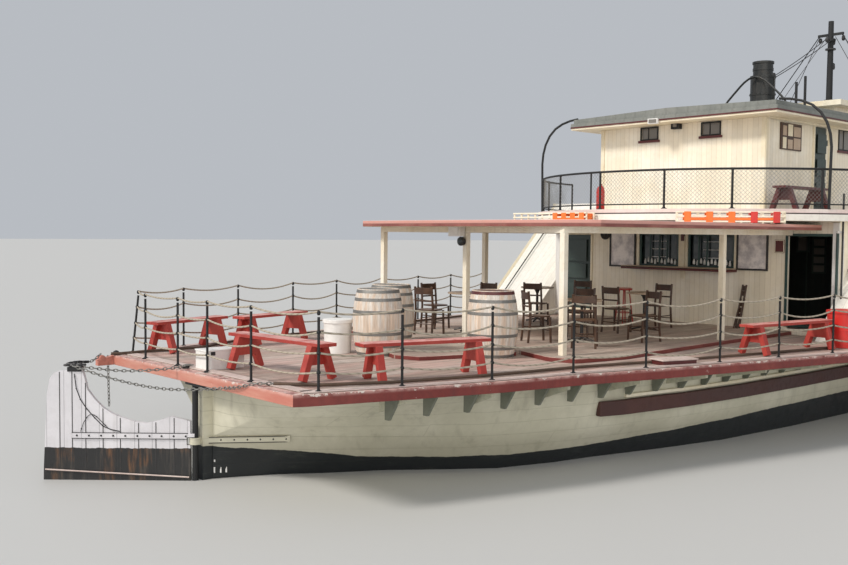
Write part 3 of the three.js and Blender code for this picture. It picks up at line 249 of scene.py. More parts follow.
def lathe(profile: Array, centres: Array, sides: int = 24, turn: Array | None = None) -> Shape:
    """Turned shapes: point = centre + turn x (r cos a, r sin a, h), for every (r, h) of the profile.

    Args:
        profile: Radius and height, one row for each ring.
        centres: Where each copy stands, one a row.
        sides: Sides of the rings.
        turn: Turning matrix, or one for each copy.
    Returns:
        Points and faces.
    """
    profile, centres = np.asarray(profile, float), np.atleast_2d(np.asarray(centres, float))
    a = np.arange(sides) * 2 * np.pi / sides
    r, h = profile[:, :1], profile[:, 1:]
    local = np.stack(np.broadcast_arrays(r * np.cos(a), r * np.sin(a), h), -1)
    turns = np.broadcast_to(np.eye(3) if turn is None else turn, (len(centres), 3, 3))
    return grid(centres[:, None, None] + np.einsum("nij,rcj->nrci", turns, local))


def prism(outline: Array, low: float, high: float, origin: Array = (0, 0, 0), turn: Array
        | None = None) -> Shape:
    """A flat outline given thickness: point = origin + turn x (u, v, low or high).

    Args:
        outline: Points (u, v) round the outline.
        low: Lower face.
        high: Upper face.
        origin: Where the outline's (0, 0) lies.
        turn: Turning matrix.
    Returns:
        Points and faces.
    """
    outline = np.asarray(outline, float)
    rows = [np.column_stack((outline, np.full(len(outline), h))) for h in (low, high)]
    local = np.stack(rows)[None]
    return grid(np.asarray(origin, float) + local @ (np.eye(3) if turn is None else turn).T)


def band(path: Array, width: float, height: float, lift: float = 0.0) -> Shape:
    """A flat bar laid along a path in plan: section corners at +-width / 2 across and 0 and height above it.

    Args:
        path: Points of the middle line.
        width: Breadth across the path.
        height: Thickness.
        lift: Height of its underside above the path.
    Returns:
        Points and faces.
    """
    path = np.asarray(path, float)
    ahead = np.gradient(path, axis=0)
    across = np.stack((-ahead[:, 1], ahead[:, 0], np.zeros(len(path))), -1)
    across *= width / 2 / np.linalg.norm(across, axis=1, keepdims=True)
    low, high = np.array((0, 0, lift)), np.array((0, 0, lift + height))
    ring = np.stack((path - across + low, path + across + low, path + across + high, path - across + high), 1)
    return grid(ring[None])


def copies(shape: Shape, places: Array, turns: Array | None = None) -> Shape:
    """One shape repeated: point = place + turn x point, whole arrays at a time.

    Args:
        shape: The shape about its own origin.
        places: One place a row.
        turns: Turning matrices, one or one for each copy.
    Returns:
        Points and faces.
    """
    points, faces = shape
    places = np.atleast_2d(places)
    turns = np.broadcast_to(np.eye(3) if turns is None else turns, (len(places), 3, 3))
    all_points = places[:, None] + np.einsum("nij,kj->nki", turns, points)
    shift = (np.arange(len(places)) * len(points))[:, None, None]
    return all_points.reshape(-1, 3), [(f[None] + shift).reshape(-1, f.shape[1]) for f in faces]


def along(path: Array, step: float) -> Array:
    """Points at even steps along a path, by its own length."""
    path = np.asarray(path, float)
    run = np.concatenate(([0], np.cumsum(np.linalg.norm(np.diff(path, axis=0), axis=1))))
    s = np.linspace(0, run[-1], max(2, int(round(run[-1] / step)) + 1))
    return np.stack([np.interp(s, run, path[:, k]) for k in range(3)], -1)


def chain(path: Array, length: float = 0.075, wire: float = 0.009) -> Shape:
    """Links along a path, every second one turned a quarter: a link is an oval ring with straight sides.

    Args:
        path: Points that the chain follows.
        length: Pitch of the links.
        wire: Radius of the links' wire.
    Returns:
        Points and faces.
    """
    places = along(path, length)
    ahead = np.gradient(places, axis=0)
    ahead /= np.linalg.norm(ahead, axis=1, keepdims=True)
    flat = np.cross(ahead, (0, 0, 1))
    flat /= np.linalg.norm(flat, axis=1, keepdims=True)
    upright = np.cross(ahead, flat)
    odd = (np.arange(len(places)) % 2 == 1)[:, None]
    y, z = np.where(odd, upright, flat), np.where(odd, -flat, upright)
    oval = circle(8, length) * (0.66, 0.32, 0)
    return copies(tubes(oval, wire, 4, closed=True), places, np.stack((ahead, y, z), -1))


def rivets(places: Array, normal: Array, radius: float = 0.014) -> Shape:
    """Domed heads standing on a face: r = R cos b, h = 0.6 R sin b."""
    b = np.linspace(0, 1.45, 4)
    profile = np.stack((radius * np.cos(b), 0.6 * radius * np.sin(b)), -1)
    normal = np.asarray(normal, float)
    lean = (0, 0, 1) if abs(normal[2]) < 0.9 else (1, 0, 0)
    turn = axes(np.cross(lean, normal), normal)
    return lathe(profile, places, 8, turn)


# ---------------------------------------------------------------- node graphs

class Graph:
    """A node tree with short calls: a node is made, set and joined in one line."""

    def __init__(self, tree: bpy.types.NodeTree) -> None:
        """Keeps the tree."""
        self.tree = tree

    def node(self, kind: str, **given: object) -> Node:
        """Adds a node.

        Args:
            kind: Node type without its ShaderNode prefix, or a group's own name for a shared effect.
            given: Node settings, and values or sockets for its inputs; i0, i1 ... name inputs by number.
        Returns:
            The node.
        """
        if kind in bpy.data.node_groups:
            made = self.tree.nodes.new("ShaderNodeGroup")
            made.node_tree = bpy.data.node_groups[kind]
        else:
            made = self.tree.nodes.new(("" if kind.startswith("Node") else "ShaderNode") + kind)
        for key, value in given.items():
            if key in made.bl_rna.properties:
                setattr(made, key, value)
                continue
            numbered = key[0] == "i" and key[1:].isdigit()
            socket = made.inputs[int(key[1:]) if numbered else key.replace("_", " ")]
            if isinstance(value, Socket):
                self.tree.links.new(value, socket)
            elif isinstance(value, tuple) and len(value) == 3 and socket.type == "RGBA":
                socket.default_value = (*value, 1.0)
            else:
                socket.default_value = value
        return made

    def math(self, operation: str, *values: object) -> Socket:
        """Result of one Math node."""
        return self.node("Math", operation=operation, **{f"i{k}": v for k, v in enumerate(values)}).outputs[0]

    def mix(self, factor: object, a: object, b: object, how: str = "MIX") -> Socket:
        """Colour between a and b."""
        return self.node("Mix", data_type="RGBA", blend_type=how, i0=factor, i6=a, i7=b).outputs[2]

    def noise(self, vector: object, scale: object, detail: float = 4.0, rough: float = 0.55) -> Socket:
        """Noise value at a point."""
        return self.node("TexNoise", Vector=vector, Scale=scale, Detail=detail, Roughness=rough).outputs[0]

    def ramp(self, value: object, low: object, high: object) -> Socket:
        """Smooth step from 0 at low to 1 at high."""
        return self.node("MapRange", interpolation_type="SMOOTHSTEP", Value=value, From_Min=low,
                From_Max=high).outputs[0]

    def times(self, a: object, b: object) -> Socket:
        """Product of two values."""
        return self.math("MULTIPLY", a, b)

    def less(self, a: object, b: object) -> Socket:
        """The first value less the second."""
        return self.math("SUBTRACT", a, b)

    def spread(self, value: object, by: object, start: object) -> Socket:
        """Value times by, plus start."""
        return self.math("MULTIPLY_ADD", value, by, start)

    def tint(self, mask: object, strength: object, under: object, over: object) -> Socket:
        """Colour over laid on colour under, as far as mask times strength."""
        return self.mix(self.times(mask, strength), under, over)

    def parts(self, vector: object) -> tuple[Socket, ...]:
        """The three coordinates of a vector."""
        return tuple(self.node("SeparateXYZ", Vector=vector).outputs)

    def facing(self) -> tuple[Socket, ...]:
        """The three coordinates of the face's normal."""
        return self.parts(self.node("NewGeometry").outputs["Normal"])

    def weather(self, place: object, scale: float, colours: tuple, amounts: tuple) -> tuple[Socket, ...]:
        """The Weather effect.

        Args:
            place: The point on the object.
            scale: Scale of its broadest patches.
            colours: The paint's own colour, the faded one and the grime.
            amounts: How much fading, fine dirt and drips.
        Returns:
            The colour and the mottle.
        """
        colour, faded, grime = colours
        fade, dirt, drips = amounts
        return tuple(self.node("Weather", Vector=place, Scale=scale, Colour=colour, Faded=faded, Grime=grime,
                Fade=fade, Dirt=dirt, Drips=drips).outputs)

    def stretch(self, vector: object, by: Colour) -> Socket:
        """Point with its coordinates multiplied."""
        return self.node("VectorMath", operation="MULTIPLY", i0=vector, i1=by).outputs[0]


def group(name: str, inputs: dict[str, str], outputs: dict[str, str]) -> tuple[Graph, dict, dict]:
    """Starts a shared effect.

    Args:
        name: Name of the group.
        inputs: Input names and their kinds (Float, Color, Vector).
        outputs: Output names and their kinds.
    Returns:
        The graph, its input sockets by name and its output sockets by name.
    """
    tree = bpy.data.node_groups.new(name, "ShaderNodeTree")
    for way, sockets in (("INPUT", inputs), ("OUTPUT", outputs)):
        for socket, kind in sockets.items():
            tree.interface.new_socket(name=socket, in_out=way, socket_type="NodeSocket" + kind)
    g = Graph(tree)
    into, out = g.node("NodeGroupInput"), g.node("NodeGroupOutput")
    return g, {k: into.outputs[k] for k in inputs}, {k: out.inputs[k] for k in outputs}


def build_boards() -> None:
    """Boards side by side: the row is the whole part of across / pitch, and the seam lies where its fraction
    is near 0 or 1; butt joints cut each row at its own random start."""
    g, i, o = group("Boards", {"Across": "Float", "Along": "Float", "Pitch": "Float", "Length": "Float",
            "Gap": "Float"}, {"Seam": "Float", "Tone": "Float"})
    u = g.math("DIVIDE", i["Across"], i["Pitch"])
    row = g.math("FLOOR", u)
    start = g.node("TexWhiteNoise", noise_dimensions="1D", W=row).outputs[0]
    v = g.math("ADD", g.math("DIVIDE", i["Along"], i["Length"]), g.times(start, 7.31))
    piece = g.node("CombineXYZ", X=row, Y=g.math("FLOOR", v)).outputs[0]
    tone = g.node("TexWhiteNoise", noise_dimensions="3D", Vector=piece).outputs[0]
    cuts = []
    for part, size in ((u, i["Pitch"]), (v, i["Length"])):
        inside = g.math("PINGPONG", part, 0.5)
        cuts.append(g.less(1.0, g.ramp(g.times(inside, size), 0.0, i["Gap"])))
    g.tree.links.new(g.math("MAXIMUM", *cuts), o["Seam"])
    g.tree.links.new(tone, o["Tone"])


def build_weather() -> None:
    """Sun and rain on paint: broad pale patches, fine dirt, and drips that run down, from stretched noise."""
    g, i, o = group("Weather", {"Vector": "Vector", "Scale": "Float", "Colour": "Color", "Faded": "Color",
            "Grime": "Color", "Fade": "Float", "Dirt": "Float", "Drips": "Float"},
            {"Colour": "Color", "Mottle": "Float"})
    broad = g.ramp(g.noise(i["Vector"], i["Scale"], 5.0, 0.62), 0.38, 0.68)
    fine = g.ramp(g.noise(i["Vector"], g.times(i["Scale"], 9.0), 3.0, 0.6), 0.42, 0.72)
    drip = g.ramp(g.noise(g.stretch(i["Vector"], (7.0, 7.0, 0.55)), i["Scale"], 4.0, 0.6), 0.5, 0.78)
    faded = g.tint(broad, i["Fade"], i["Colour"], i["Faded"])
    dirt = g.math("MAXIMUM", g.times(fine, i["Dirt"]), g.times(drip, i["Drips"]))
    g.tree.links.new(g.mix(dirt, faded, i["Grime"]), o["Colour"])
    g.tree.links.new(g.spread(fine, 0.5, g.times(broad, 0.5)), o["Mottle"])


def build_chips() -> None:
    """Flaked paint: sharp-edged spots of two sizes of noise, more of them where Edge is near 1."""
    g, i, o = group("Chips", {"Vector": "Vector", "Scale": "Float", "Edge": "Float", "Amount": "Float"},
            {"Mask": "Float"})
    spots = g.spread(g.noise(i["Vector"], i["Scale"], 6.0, 0.7), 1.0, g.times(i["Edge"], 0.13))
    bar = g.less(0.78, g.times(i["Amount"], 0.2))
    g.tree.links.new(g.ramp(spots, bar, g.math("ADD", bar, 0.03)), o["Mask"])


def build_grain() -> None:
    """Wood grain: noise drawn out along the board, and darker rings where a finer wave crosses it."""
    g, i, o = group("Grain", {"Vector": "Vector", "Stretch": "Vector", "Scale": "Float"}, {"Mask": "Float"})
    drawn = g.node("VectorMath", operation="MULTIPLY", i0=i["Vector"], i1=i["Stretch"]).outputs[0]
    coarse = g.noise(drawn, i["Scale"], 5.0, 0.65)
    fine = g.noise(drawn, g.times(i["Scale"], 4.5), 3.0, 0.6)
    g.tree.links.new(g.ramp(g.spread(fine, 0.35, coarse), 0.45, 0.85), o["Mask"])


class Boards(Enum):
    """Which way the boards under a paint run."""

    NONE = "none"
    UPRIGHT = "upright"
    LEVEL = "level"
    FORE_AND_AFT = "fore and aft"


class Finish:
    """A surface finish that builds its material once."""

    name: str

    def material(self) -> bpy.types.Material:
        """The finish's material, made at the first call."""
        label = "finish_" + self.name
        found = bpy.data.materials.get(label)
        if found:
            return found
        made = bpy.data.materials.new(label)
        made.use_nodes = True
        made.node_tree.nodes.clear()
        g = Graph(made.node_tree)
        shader, out = g.node("BsdfPrincipled"), g.node("OutputMaterial")
        g.tree.links.new(shader.outputs[0], out.inputs[0])
        self.fill(g, shader, g.node("TexCoord").outputs["Object"])
        return made

    def fill(self, g: Graph, shader: Node, place: Socket) -> None:
        """Joins the finish's own nodes to the shader; place is the point on the object."""
        raise NotImplementedError

    @staticmethod
    def join(g: Graph, shader: Node, colour: object, rough: object, height: object, depth: float) -> None:
        """Feeds colour, roughness and a bump of the given depth into the shader."""
        g.tree.links.new(colour, shader.inputs["Base Color"])
        g.tree.links.new(rough, shader.inputs["Roughness"])
        bump = g.node("Bump", Height=height, Distance=depth, Strength=0.6)
        g.tree.links.new(bump.outputs[0], shader.inputs["Normal"])


def compass(g: Graph, place: object) -> tuple[object, object, object]:
    """Coordinates for boards on upright faces.

    Args:
        g: The graph.
        place: The point on the object.
    Returns:
        The level coordinate along the wall, the height, and how much the face looks up, 0 to 1.
    """
    x, y, z = g.parts(place)
    _, aside, up = g.facing()
    sideways = g.math("GREATER_THAN", g.math("ABSOLUTE", aside), 0.7)
    level = g.node("Mix", i0=sideways, i2=y, i3=x).outputs[0]
    return level, z, g.ramp(up, 0.5, 0.95)


@dataclass(frozen=True)
class Paint(Finish):
    """Weathered paint on boards or iron, paler on the faces that look up, chipped here and there."""

    name: str
    colour: Colour
    faded: Colour
    grime: Colour = (0.10, 0.09, 0.08)
    top: Colour | None = None
    bare: Colour = (0.30, 0.27, 0.24)
    boards: Boards = Boards.NONE
    pitch: float = 0.12
    seam: float = 0.5
    scale: float = 1.3
    fade: float = 0.5
    dirt: float = 0.12
    drips: float = 0.15
    chips: float = 0.2
    rough: float = 0.5
    metal: float = 0.0
    depth: float = 0.002

    def fill(self, g: Graph, shader: Node, place: Socket) -> None:
        """Weather over the colour, then the sun-bleached tops, seams and chips."""
        level, height, up = compass(g, place)
        colour, mottle = g.weather(place, self.scale, (self.colour, self.faded, self.grime),
                (self.fade, self.dirt, self.drips))
        if self.top:
            patch = g.ramp(g.noise(place, 5.0, 6.0, 0.68), 0.3, 0.58)
            colour = g.tint(up, patch, colour, self.top)
        relief = mottle
        if self.boards is not Boards.NONE:
            across, run = {Boards.UPRIGHT: (level, height), Boards.LEVEL: (height, level),
                    Boards.FORE_AND_AFT: (g.parts(place)[1], level)}[self.boards]
            rows = g.node("Boards", Across=across, Along=run, Pitch=self.pitch, Length=60.0, Gap=0.009)
            tone = g.spread(rows.outputs["Tone"], 0.12, 0.9)
            colour = g.mix(1.0, colour,
                    g.node("CombineColor", i0=tone, i1=tone, i2=tone).outputs[0], "MULTIPLY")
            colour = g.tint(rows.outputs["Seam"], self.seam, colour, self.grime)
            relief = g.less(g.times(mottle, 0.15), rows.outputs["Seam"])
        chips = g.node("Chips", Vector=place, Scale=9.0, Edge=up, Amount=self.chips).outputs[0]
        colour = g.mix(chips, colour, self.bare)
        rough = g.spread(mottle, 0.2, self.rough)
        shader.inputs["Metallic"].default_value = self.metal
        self.join(g, shader, colour, rough, g.less(relief, chips), self.depth)


@dataclass(frozen=True)
class HullPaint(Finish):
    """Cream planks greened and darkened as painted shade, over a black bottom, the edge between them rising
    toward the stern.
    """

    name: str = "hull_shaded_cream_over_black"
    # painted shade: the hull's cream is darker and greener than the house walls, standing for the shade under
    # the deck's overhang
    shaded_cream: Colour = (0.60, 0.575, 0.45)
    pale: Colour = (0.72, 0.69, 0.56)
    grime: Colour = (0.22, 0.20, 0.14)
    black: Colour = (0.012, 0.015, 0.017)
    edge: tuple = ((-17, 0.47), (-15.7, 0.34), (-14.4, 0.23), (-13.1, 0.23), (-10, 0.34), (-8.5, 0.40),
            (-5.5, 0.46), (0, 0.46), (8, 0.45), (17.2, 0.55))
    run: float = 36.0

    def fill(self, g: Graph, shader: Node, place: Socket) -> None:
        """Plank seams run fore and aft; black below the painted edge, with a stained line above the water."""
        x, _, z = g.parts(place)
        curve = g.node("FloatCurve", Value=g.spread(x, 1 / self.run, 0.5))
        points = curve.mapping.curves[0].points
        for k, (station, height) in enumerate(self.edge):
            where = (station / self.run + 0.5, height)
            if k in (0, len(self.edge) - 1):
                points[0 if k == 0 else -1].location = where
            else:
                points.new(*where)
        curve.mapping.update()
        shaded_cream, mottle = g.weather(place, 0.8, (self.shaded_cream, self.pale, self.grime), (0.8, 0.10, 0.34))
        rows = g.node("Boards", Across=z, Along=x, Pitch=0.19, Length=5.2, Gap=0.010)
        shaded_cream = g.tint(rows.outputs["Seam"], 0.22, shaded_cream, self.grime)
        stain = g.less(1.0, g.ramp(z, 0.3, 0.75))
        shaded_cream = g.tint(stain, 0.35, shaded_cream, self.grime)
        worn = g.ramp(g.noise(g.stretch(place, (1, 1, 4)), 2.2, 6.0, 0.7), 0.52, 0.78)
        black = g.tint(worn, 0.5, self.black, (0.06, 0.065, 0.055))
        wobble = g.spread(g.noise(place, 7.0), 0.03, -0.015)
        below = g.less(curve.outputs[0], g.math("ADD", z, wobble))
        under = g.ramp(below, -0.006, 0.006)
        self.join(g, shader, g.mix(under, shaded_cream, black), g.spread(mottle, 0.2, 0.42),
                g.less(g.times(mottle, 0.3), rows.outputs["Seam"]), 0.003)


@dataclass(frozen=True)
class PlankFinish(Finish):
    """Bare or worn planks fore and aft: grey wood, its grain drawn out along X, old paint left in patches."""

    name: str
    wood: Colour = (0.50, 0.40, 0.335)
    pale: Colour = (0.72, 0.61, 0.54)
    dark: Colour = (0.13, 0.095, 0.08)
    streak: Colour = (0.36, 0.26, 0.21)
    paint: Colour = (0.66, 0.40, 0.35)
    painted: float = 0.5
    pitch: float = 0.19

    def fill(self, g: Graph, shader: Node, place: Socket) -> None:
        """Grain and tone for each plank, pink paint worn thin, dark caulked seams."""
        x, y, _ = g.parts(place)
        rows = g.node("Boards", Across=y, Along=x, Pitch=self.pitch, Length=4.6, Gap=0.012)
        grain = g.node("Grain", Vector=place, Stretch=(0.6, 9.0, 9.0), Scale=3.0).outputs[0]
        wood = g.mix(rows.outputs["Tone"], self.wood, self.pale)
        streaks = g.ramp(g.noise(g.stretch(place, (0.22, 3.4, 1.0)), 1.0, 4.0, 0.62), 0.46, 0.60)
        wood = g.tint(streaks, 0.6, wood, self.streak)
        wood = g.tint(grain, 0.5, wood, self.dark)
        worn = g.ramp(g.noise(g.stretch(place, (0.5, 1.6, 1.0)), 1.1, 7.0, 0.7), 0.42, 0.66)
        wood = g.tint(worn, self.painted, wood, self.paint)
        scuff = g.ramp(g.noise(place, 0.7, 6.0, 0.66), 0.5, 0.75)
        wood = g.tint(scuff, 0.35, wood, self.pale)
        colour = g.tint(rows.outputs["Seam"], 0.75, wood, self.dark)
        rough = g.spread(grain, 0.2, 0.68)
        self.join(g, shader, colour, rough, g.less(g.times(grain, 0.3), rows.outputs["Seam"]), 0.003)


@dataclass(frozen=True)
class GuardPaint(Finish):
    """Deck edge board: maroon on the sides, its after face lightened to a streaked pink-red as painted
    sunlight, its top rim flaked."""

    name: str = "guard_maroon"
    maroon: Colour = (0.175, 0.024, 0.019)
    warm: Colour = (0.23, 0.045, 0.035)
    sunlit_salmon: Colour = (0.50, 0.17, 0.125)
    pink: Colour = (0.72, 0.46, 0.41)
    bare: Colour = (0.70, 0.62, 0.56)

    def fill(self, g: Graph, shader: Node, place: Socket) -> None:
        """Sides, after face and top told apart by the normal, the after face taking the painted sunlight;
        flakes gather at the top rim.
        """
        x, _, z = g.parts(place)
        ahead, _, upward = g.facing()
        maroon, mottle = g.weather(place, 1.6, (self.maroon, self.warm, (0.05, 0.02, 0.02)), (0.9, 0.2, 0.35))
        streak = g.ramp(g.noise(g.stretch(place, (1, 0.5, 5)), 2.0, 5.0, 0.65), 0.3, 0.7)
        # painted sunlight: faces that look aft are mixed from maroon to a streaked salmon, standing for the
        # sun falling on them
        sunlit_salmon = g.mix(streak, self.sunlit_salmon, (0.58, 0.28, 0.21))
        colour = g.mix(g.ramp(ahead, -0.5, -0.9), maroon, sunlit_salmon)
        up = g.ramp(upward, 0.4, 0.9)
        forward = g.math("MAXIMUM", g.less(x, SHEER_FROM + STERN), 0.0)
        rise = g.less(z, g.times(g.math("POWER", forward, 2.0), SHEER_RISE / 100))
        rim = g.ramp(rise, DECK - 0.05, DECK - 0.005)
        worn = g.ramp(g.noise(place, 6.0, 6.0, 0.7), 0.3, 0.62)
        colour = g.tint(g.math("MAXIMUM", up, g.times(rim, 0.6)), worn, colour, self.pink)
        chips = g.node("Chips", Vector=place, Scale=11.0, Edge=rim, Amount=0.5).outputs[0]
        colour = g.mix(chips, colour, self.bare)
        self.join(g, shader, colour, g.spread(mottle, 0.25, 0.42), g.less(mottle, chips), 0.002)


@dataclass(frozen=True)
class RudderPaint(Finish):
    """Off-white planks above, black and brown stains below the painted line."""

    name: str = "rudder_white_over_black"
    white: Colour = (0.74, 0.72, 0.75)
    shade: Colour = (0.56, 0.55, 0.58)
    line: float = 0.445

    def fill(self, g: Graph, shader: Node, place: Socket) -> None:
        """Each plank has its own tone along the blade; drips run down the white, rust down the black."""
        turned = g.node("Mapping", Vector=place, Location=tuple(-STOCK), vector_type="POINT").outputs[0]
        s = g.node("VectorMath", operation="DOT_PRODUCT", i0=turned, i1=tuple(BLADE_AFT)).outputs["Value"]
        z = g.parts(place)[2]
        rows = g.node("Boards", Across=g.less(s, 0.1), Along=z, Pitch=0.24, Length=60.0, Gap=0.006)
        white, mottle = g.weather(place, 1.5, (self.white, self.shade, (0.30, 0.27, 0.25)), (0.4, 0.10, 0.30))
        white = g.tint(rows.outputs["Tone"], 0.25, white, self.shade)
        drip = g.ramp(g.noise(g.stretch(place, (6, 6, 0.6)), 1.7, 5.0, 0.65), 0.48, 0.66)
        rust = g.mix(g.ramp(g.noise(place, 2.3, 5.0), 0.45, 0.62), (0.07, 0.06, 0.05), (0.20, 0.09, 0.035))
        black = g.tint(drip, 0.75, (0.014, 0.014, 0.015), rust)
        wobble = g.spread(g.noise(place, 6.0), 0.06, self.line - 0.03)
        under = g.ramp(g.less(wobble, z), -0.004, 0.004)
        colour = g.tint(rows.outputs["Seam"], 0.5, g.mix(under, white, black), (0.03, 0.03, 0.03))
        self.join(g, shader, colour, g.spread(mottle, 0.2, 0.45),
                g.less(g.times(mottle, 0.4), rows.outputs["Seam"]), 0.003)


@dataclass(frozen=True)
class RoofPaint(Finish):
    """Painted canvas on battens: grey green, ribbed across the roof, with lichen and rain marks."""

    name: str = "roof_grey_green"
    colour: Colour = (0.19, 0.20, 0.185)
    pale: Colour = (0.26, 0.265, 0.245)
    pitch: float = 0.26

    def fill(self, g: Graph, shader: Node, place: Socket) -> None:
        """Ribs are a wave along Y; patches of noise lie over them."""
        y = g.parts(place)[1]
        rib = g.ramp(g.math("PINGPONG", g.math("DIVIDE", y, self.pitch), 0.5), 0.0, 0.16)
        grey, mottle = g.weather(place, 1.7, (self.colour, self.pale, (0.12, 0.13, 0.10)), (0.6, 0.2, 0.1))
        colour = g.tint(g.less(1.0, rib), 0.2, grey, (0.10, 0.10, 0.09))
        self.join(g, shader, colour, g.spread(mottle, 0.2, 0.6), g.math("ADD", rib, mottle), 0.006)


@dataclass(frozen=True)
class OakStaves(Finish):
    """Weathered oak with the grain running up the staves."""

    name: str = "oak_staves"
    oak: Colour = (0.78, 0.63, 0.50)
    grey: Colour = (0.76, 0.72, 0.66)
    dark: Colour = (0.20, 0.14, 0.10)

    def fill(self, g: Graph, shader: Node, place: Socket) -> None:
        """Grain drawn out along Z, grey where the rain has reached."""
        grain = g.node("Grain", Vector=place, Stretch=(14.0, 14.0, 0.8), Scale=2.0).outputs[0]
        broad = g.ramp(g.noise(g.stretch(place, (5, 5, 0.5)), 2.4, 4.0), 0.4, 0.6)
        wet = g.ramp(g.noise(place, 3.1, 4.0, 0.6), 0.5, 0.8)
        colour = g.mix(broad, self.oak, self.grey)
        colour = g.tint(g.math("MAXIMUM", grain, wet), 0.4, colour, self.dark)
        self.join(g, shader, colour, g.spread(grain, 0.2, 0.62), grain, 0.002)


@dataclass(frozen=True)
class Laid(Finish):
    """Rope or hose: strands on the slant, worked out from Object coordinates."""

    name: str
    colour: Colour
    dark: Colour
    turns: float = 12.0
    rough: float = 0.8

    def fill(self, g: Graph, shader: Node, place: Socket) -> None:
        """The strand's edge lies where the slanting coordinate comes round; noise makes it fuzzy."""
        x, y, z = g.parts(place)
        slant = g.math("ADD", g.math("ADD", x, y), z)
        strand = g.ramp(g.math("PINGPONG", g.times(slant, self.turns), 0.5), 0.0, 0.3)
        fuzz = g.noise(place, 40.0, 3.0, 0.7)
        shade = g.spread(fuzz, 0.5, g.times(g.less(1.0, strand), 0.45))
        self.join(g, shader, g.mix(shade, self.colour, self.dark),
                g.spread(fuzz, 0.1, self.rough), strand, 0.002)


@dataclass(frozen=True)
class Glass(Finish):
    """Opaque window glass whose near-black colour is painted shade, standing for the unlit room behind it,
    with the faint waves of old panes.
    """

    name: str = "window_glass"
    colour: Colour = (0.028, 0.038, 0.040)

    def fill(self, g: Graph, shader: Node, place: Socket) -> None:
        """Soft waves in the normal and a film of dust low in the colour."""
        wave = g.noise(place, 3.0, 2.0, 0.5)
        dust = g.ramp(g.noise(place, 6.0, 5.0, 0.7), 0.5, 0.9)
        self.join(g, shader, g.tint(dust, 0.25, self.colour, (0.25, 0.26, 0.25)),
                g.spread(dust, 0.2, 0.06), wave, 0.01)


@dataclass(frozen=True)
class Poster(Finish):
    """A blank sheet under dusty glazing: broad soft blotches of grey and nothing written."""

    name: str = "blank_sheet"
    light: Colour = (0.90, 0.85, 0.83)
    dark: Colour = (0.46, 0.43, 0.45)

    def fill(self, g: Graph, shader: Node, place: Socket) -> None:
        """Two sizes of noise blend the greys."""
        blot = g.ramp(g.noise(place, 4.2, 6.0, 0.62), 0.36, 0.66)
        fine = g.noise(place, 26.0, 3.0, 0.6)
        colour = g.mix(blot, self.light, self.dark)
        colour = g.tint(fine, 0.25, colour, (0.75, 0.70, 0.66))
        self.join(g, shader, colour, g.spread(fine, 0.2, 0.25), fine, 0.0008)


@dataclass(frozen=True)
class BandedEdge(Finish):
    """A deck or roof edge: worn canvas on top; on the edge a rim, a dark line at the seam that is partly
    painted shadow, and a board below it.
    """

    name: str = "upper_deck_edge"
    rim: Colour = (0.74, 0.60, 0.56)
    board: Colour = (0.82, 0.79, 0.72)
    canvas: Colour = (0.52, 0.45, 0.40)
    faded: Colour = (0.88, 0.85, 0.80)
    split: float = 3.837
    gap: float = 1.0

    def fill(self, g: Graph, shader: Node, place: Socket) -> None:
        """The edge's bands are steps of the height."""
        z, normal = g.parts(place)[2], g.facing()[2]
        lower = g.ramp(z, self.split + 0.005, self.split - 0.005)
        above, below = (g.ramp(z, self.split + way * 0.015, self.split + way * 0.009) for way in (-1, 1))
        # painted shadow: a dark line along the split, partly the seam itself and partly the shadow in the gap
        # below the rim
        joint_and_shadow = g.times(g.times(above, below), self.gap)
        colour = g.mix(lower, self.rim, self.board)
        colour, mottle = g.weather(place, 1.4, (colour, self.faded, (0.30, 0.24, 0.2)), (0.35, 0.12, 0.2))
        colour = g.mix(joint_and_shadow, colour, (0.05, 0.03, 0.03))
        worn = g.ramp(g.noise(place, 2.0, 6.0, 0.65), 0.4, 0.65)
        top = g.mix(worn, self.canvas, (0.66, 0.58, 0.53))
        colour = g.mix(g.ramp(normal, 0.5, 0.9), colour, top)
        under = g.ramp(normal, -0.5, -0.9)
        colour = g.mix(under, colour, (0.74, 0.68, 0.54))
        self.join(g, shader, colour, g.spread(mottle, 0.2, 0.52), g.less(mottle, joint_and_shadow), 0.003)


CREAM = (0.88, 0.80, 0.64)
CREAM_PALE = (0.95, 0.90, 0.79)
WALL = Paint("cream_boards", CREAM, CREAM_PALE, grime=(0.34, 0.26, 0.15), boards=Boards.UPRIGHT, pitch=0.115,
        seam=0.3, fade=0.8, dirt=0.06, drips=0.12, chips=0.0, rough=0.48, depth=0.003)
TRIM = Paint("cream_trim", (0.80, 0.71, 0.52), (0.88, 0.83, 0.70), grime=(0.36, 0.29, 0.2), fade=0.7,
        chips=0.12, bare=(0.42, 0.36, 0.28))
POST = Paint("post_cream", (0.82, 0.74, 0.58), (0.90, 0.86, 0.76), grime=(0.42, 0.33, 0.22), fade=0.8,
        dirt=0.14, drips=0.3, chips=0.25, bare=(0.45, 0.38, 0.30))
WHITE = Paint("white_boards", (0.80, 0.79, 0.77), (0.88, 0.87, 0.84), grime=(0.38, 0.36, 0.32), drips=0.25,
        chips=0.15, bare=(0.42, 0.40, 0.37))
BOX_SIDE = Paint("paddle_box_cream", (0.88, 0.85, 0.77), (0.94, 0.92, 0.87), grime=(0.36, 0.31, 0.24),
        boards=Boards.UPRIGHT, pitch=0.16, seam=0.3, drips=0.25, chips=0.05)
MAROON = Paint("maroon_gloss", (0.165, 0.028, 0.024), (0.26, 0.07, 0.055), grime=(0.05, 0.02, 0.02),
        top=(0.62, 0.33, 0.28), chips=0.3, bare=(0.55, 0.45, 0.40), rough=0.36)
DARK_MAROON = Paint("maroon_dark", (0.085, 0.014, 0.014), (0.15, 0.03, 0.028), chips=0.1, rough=0.34)
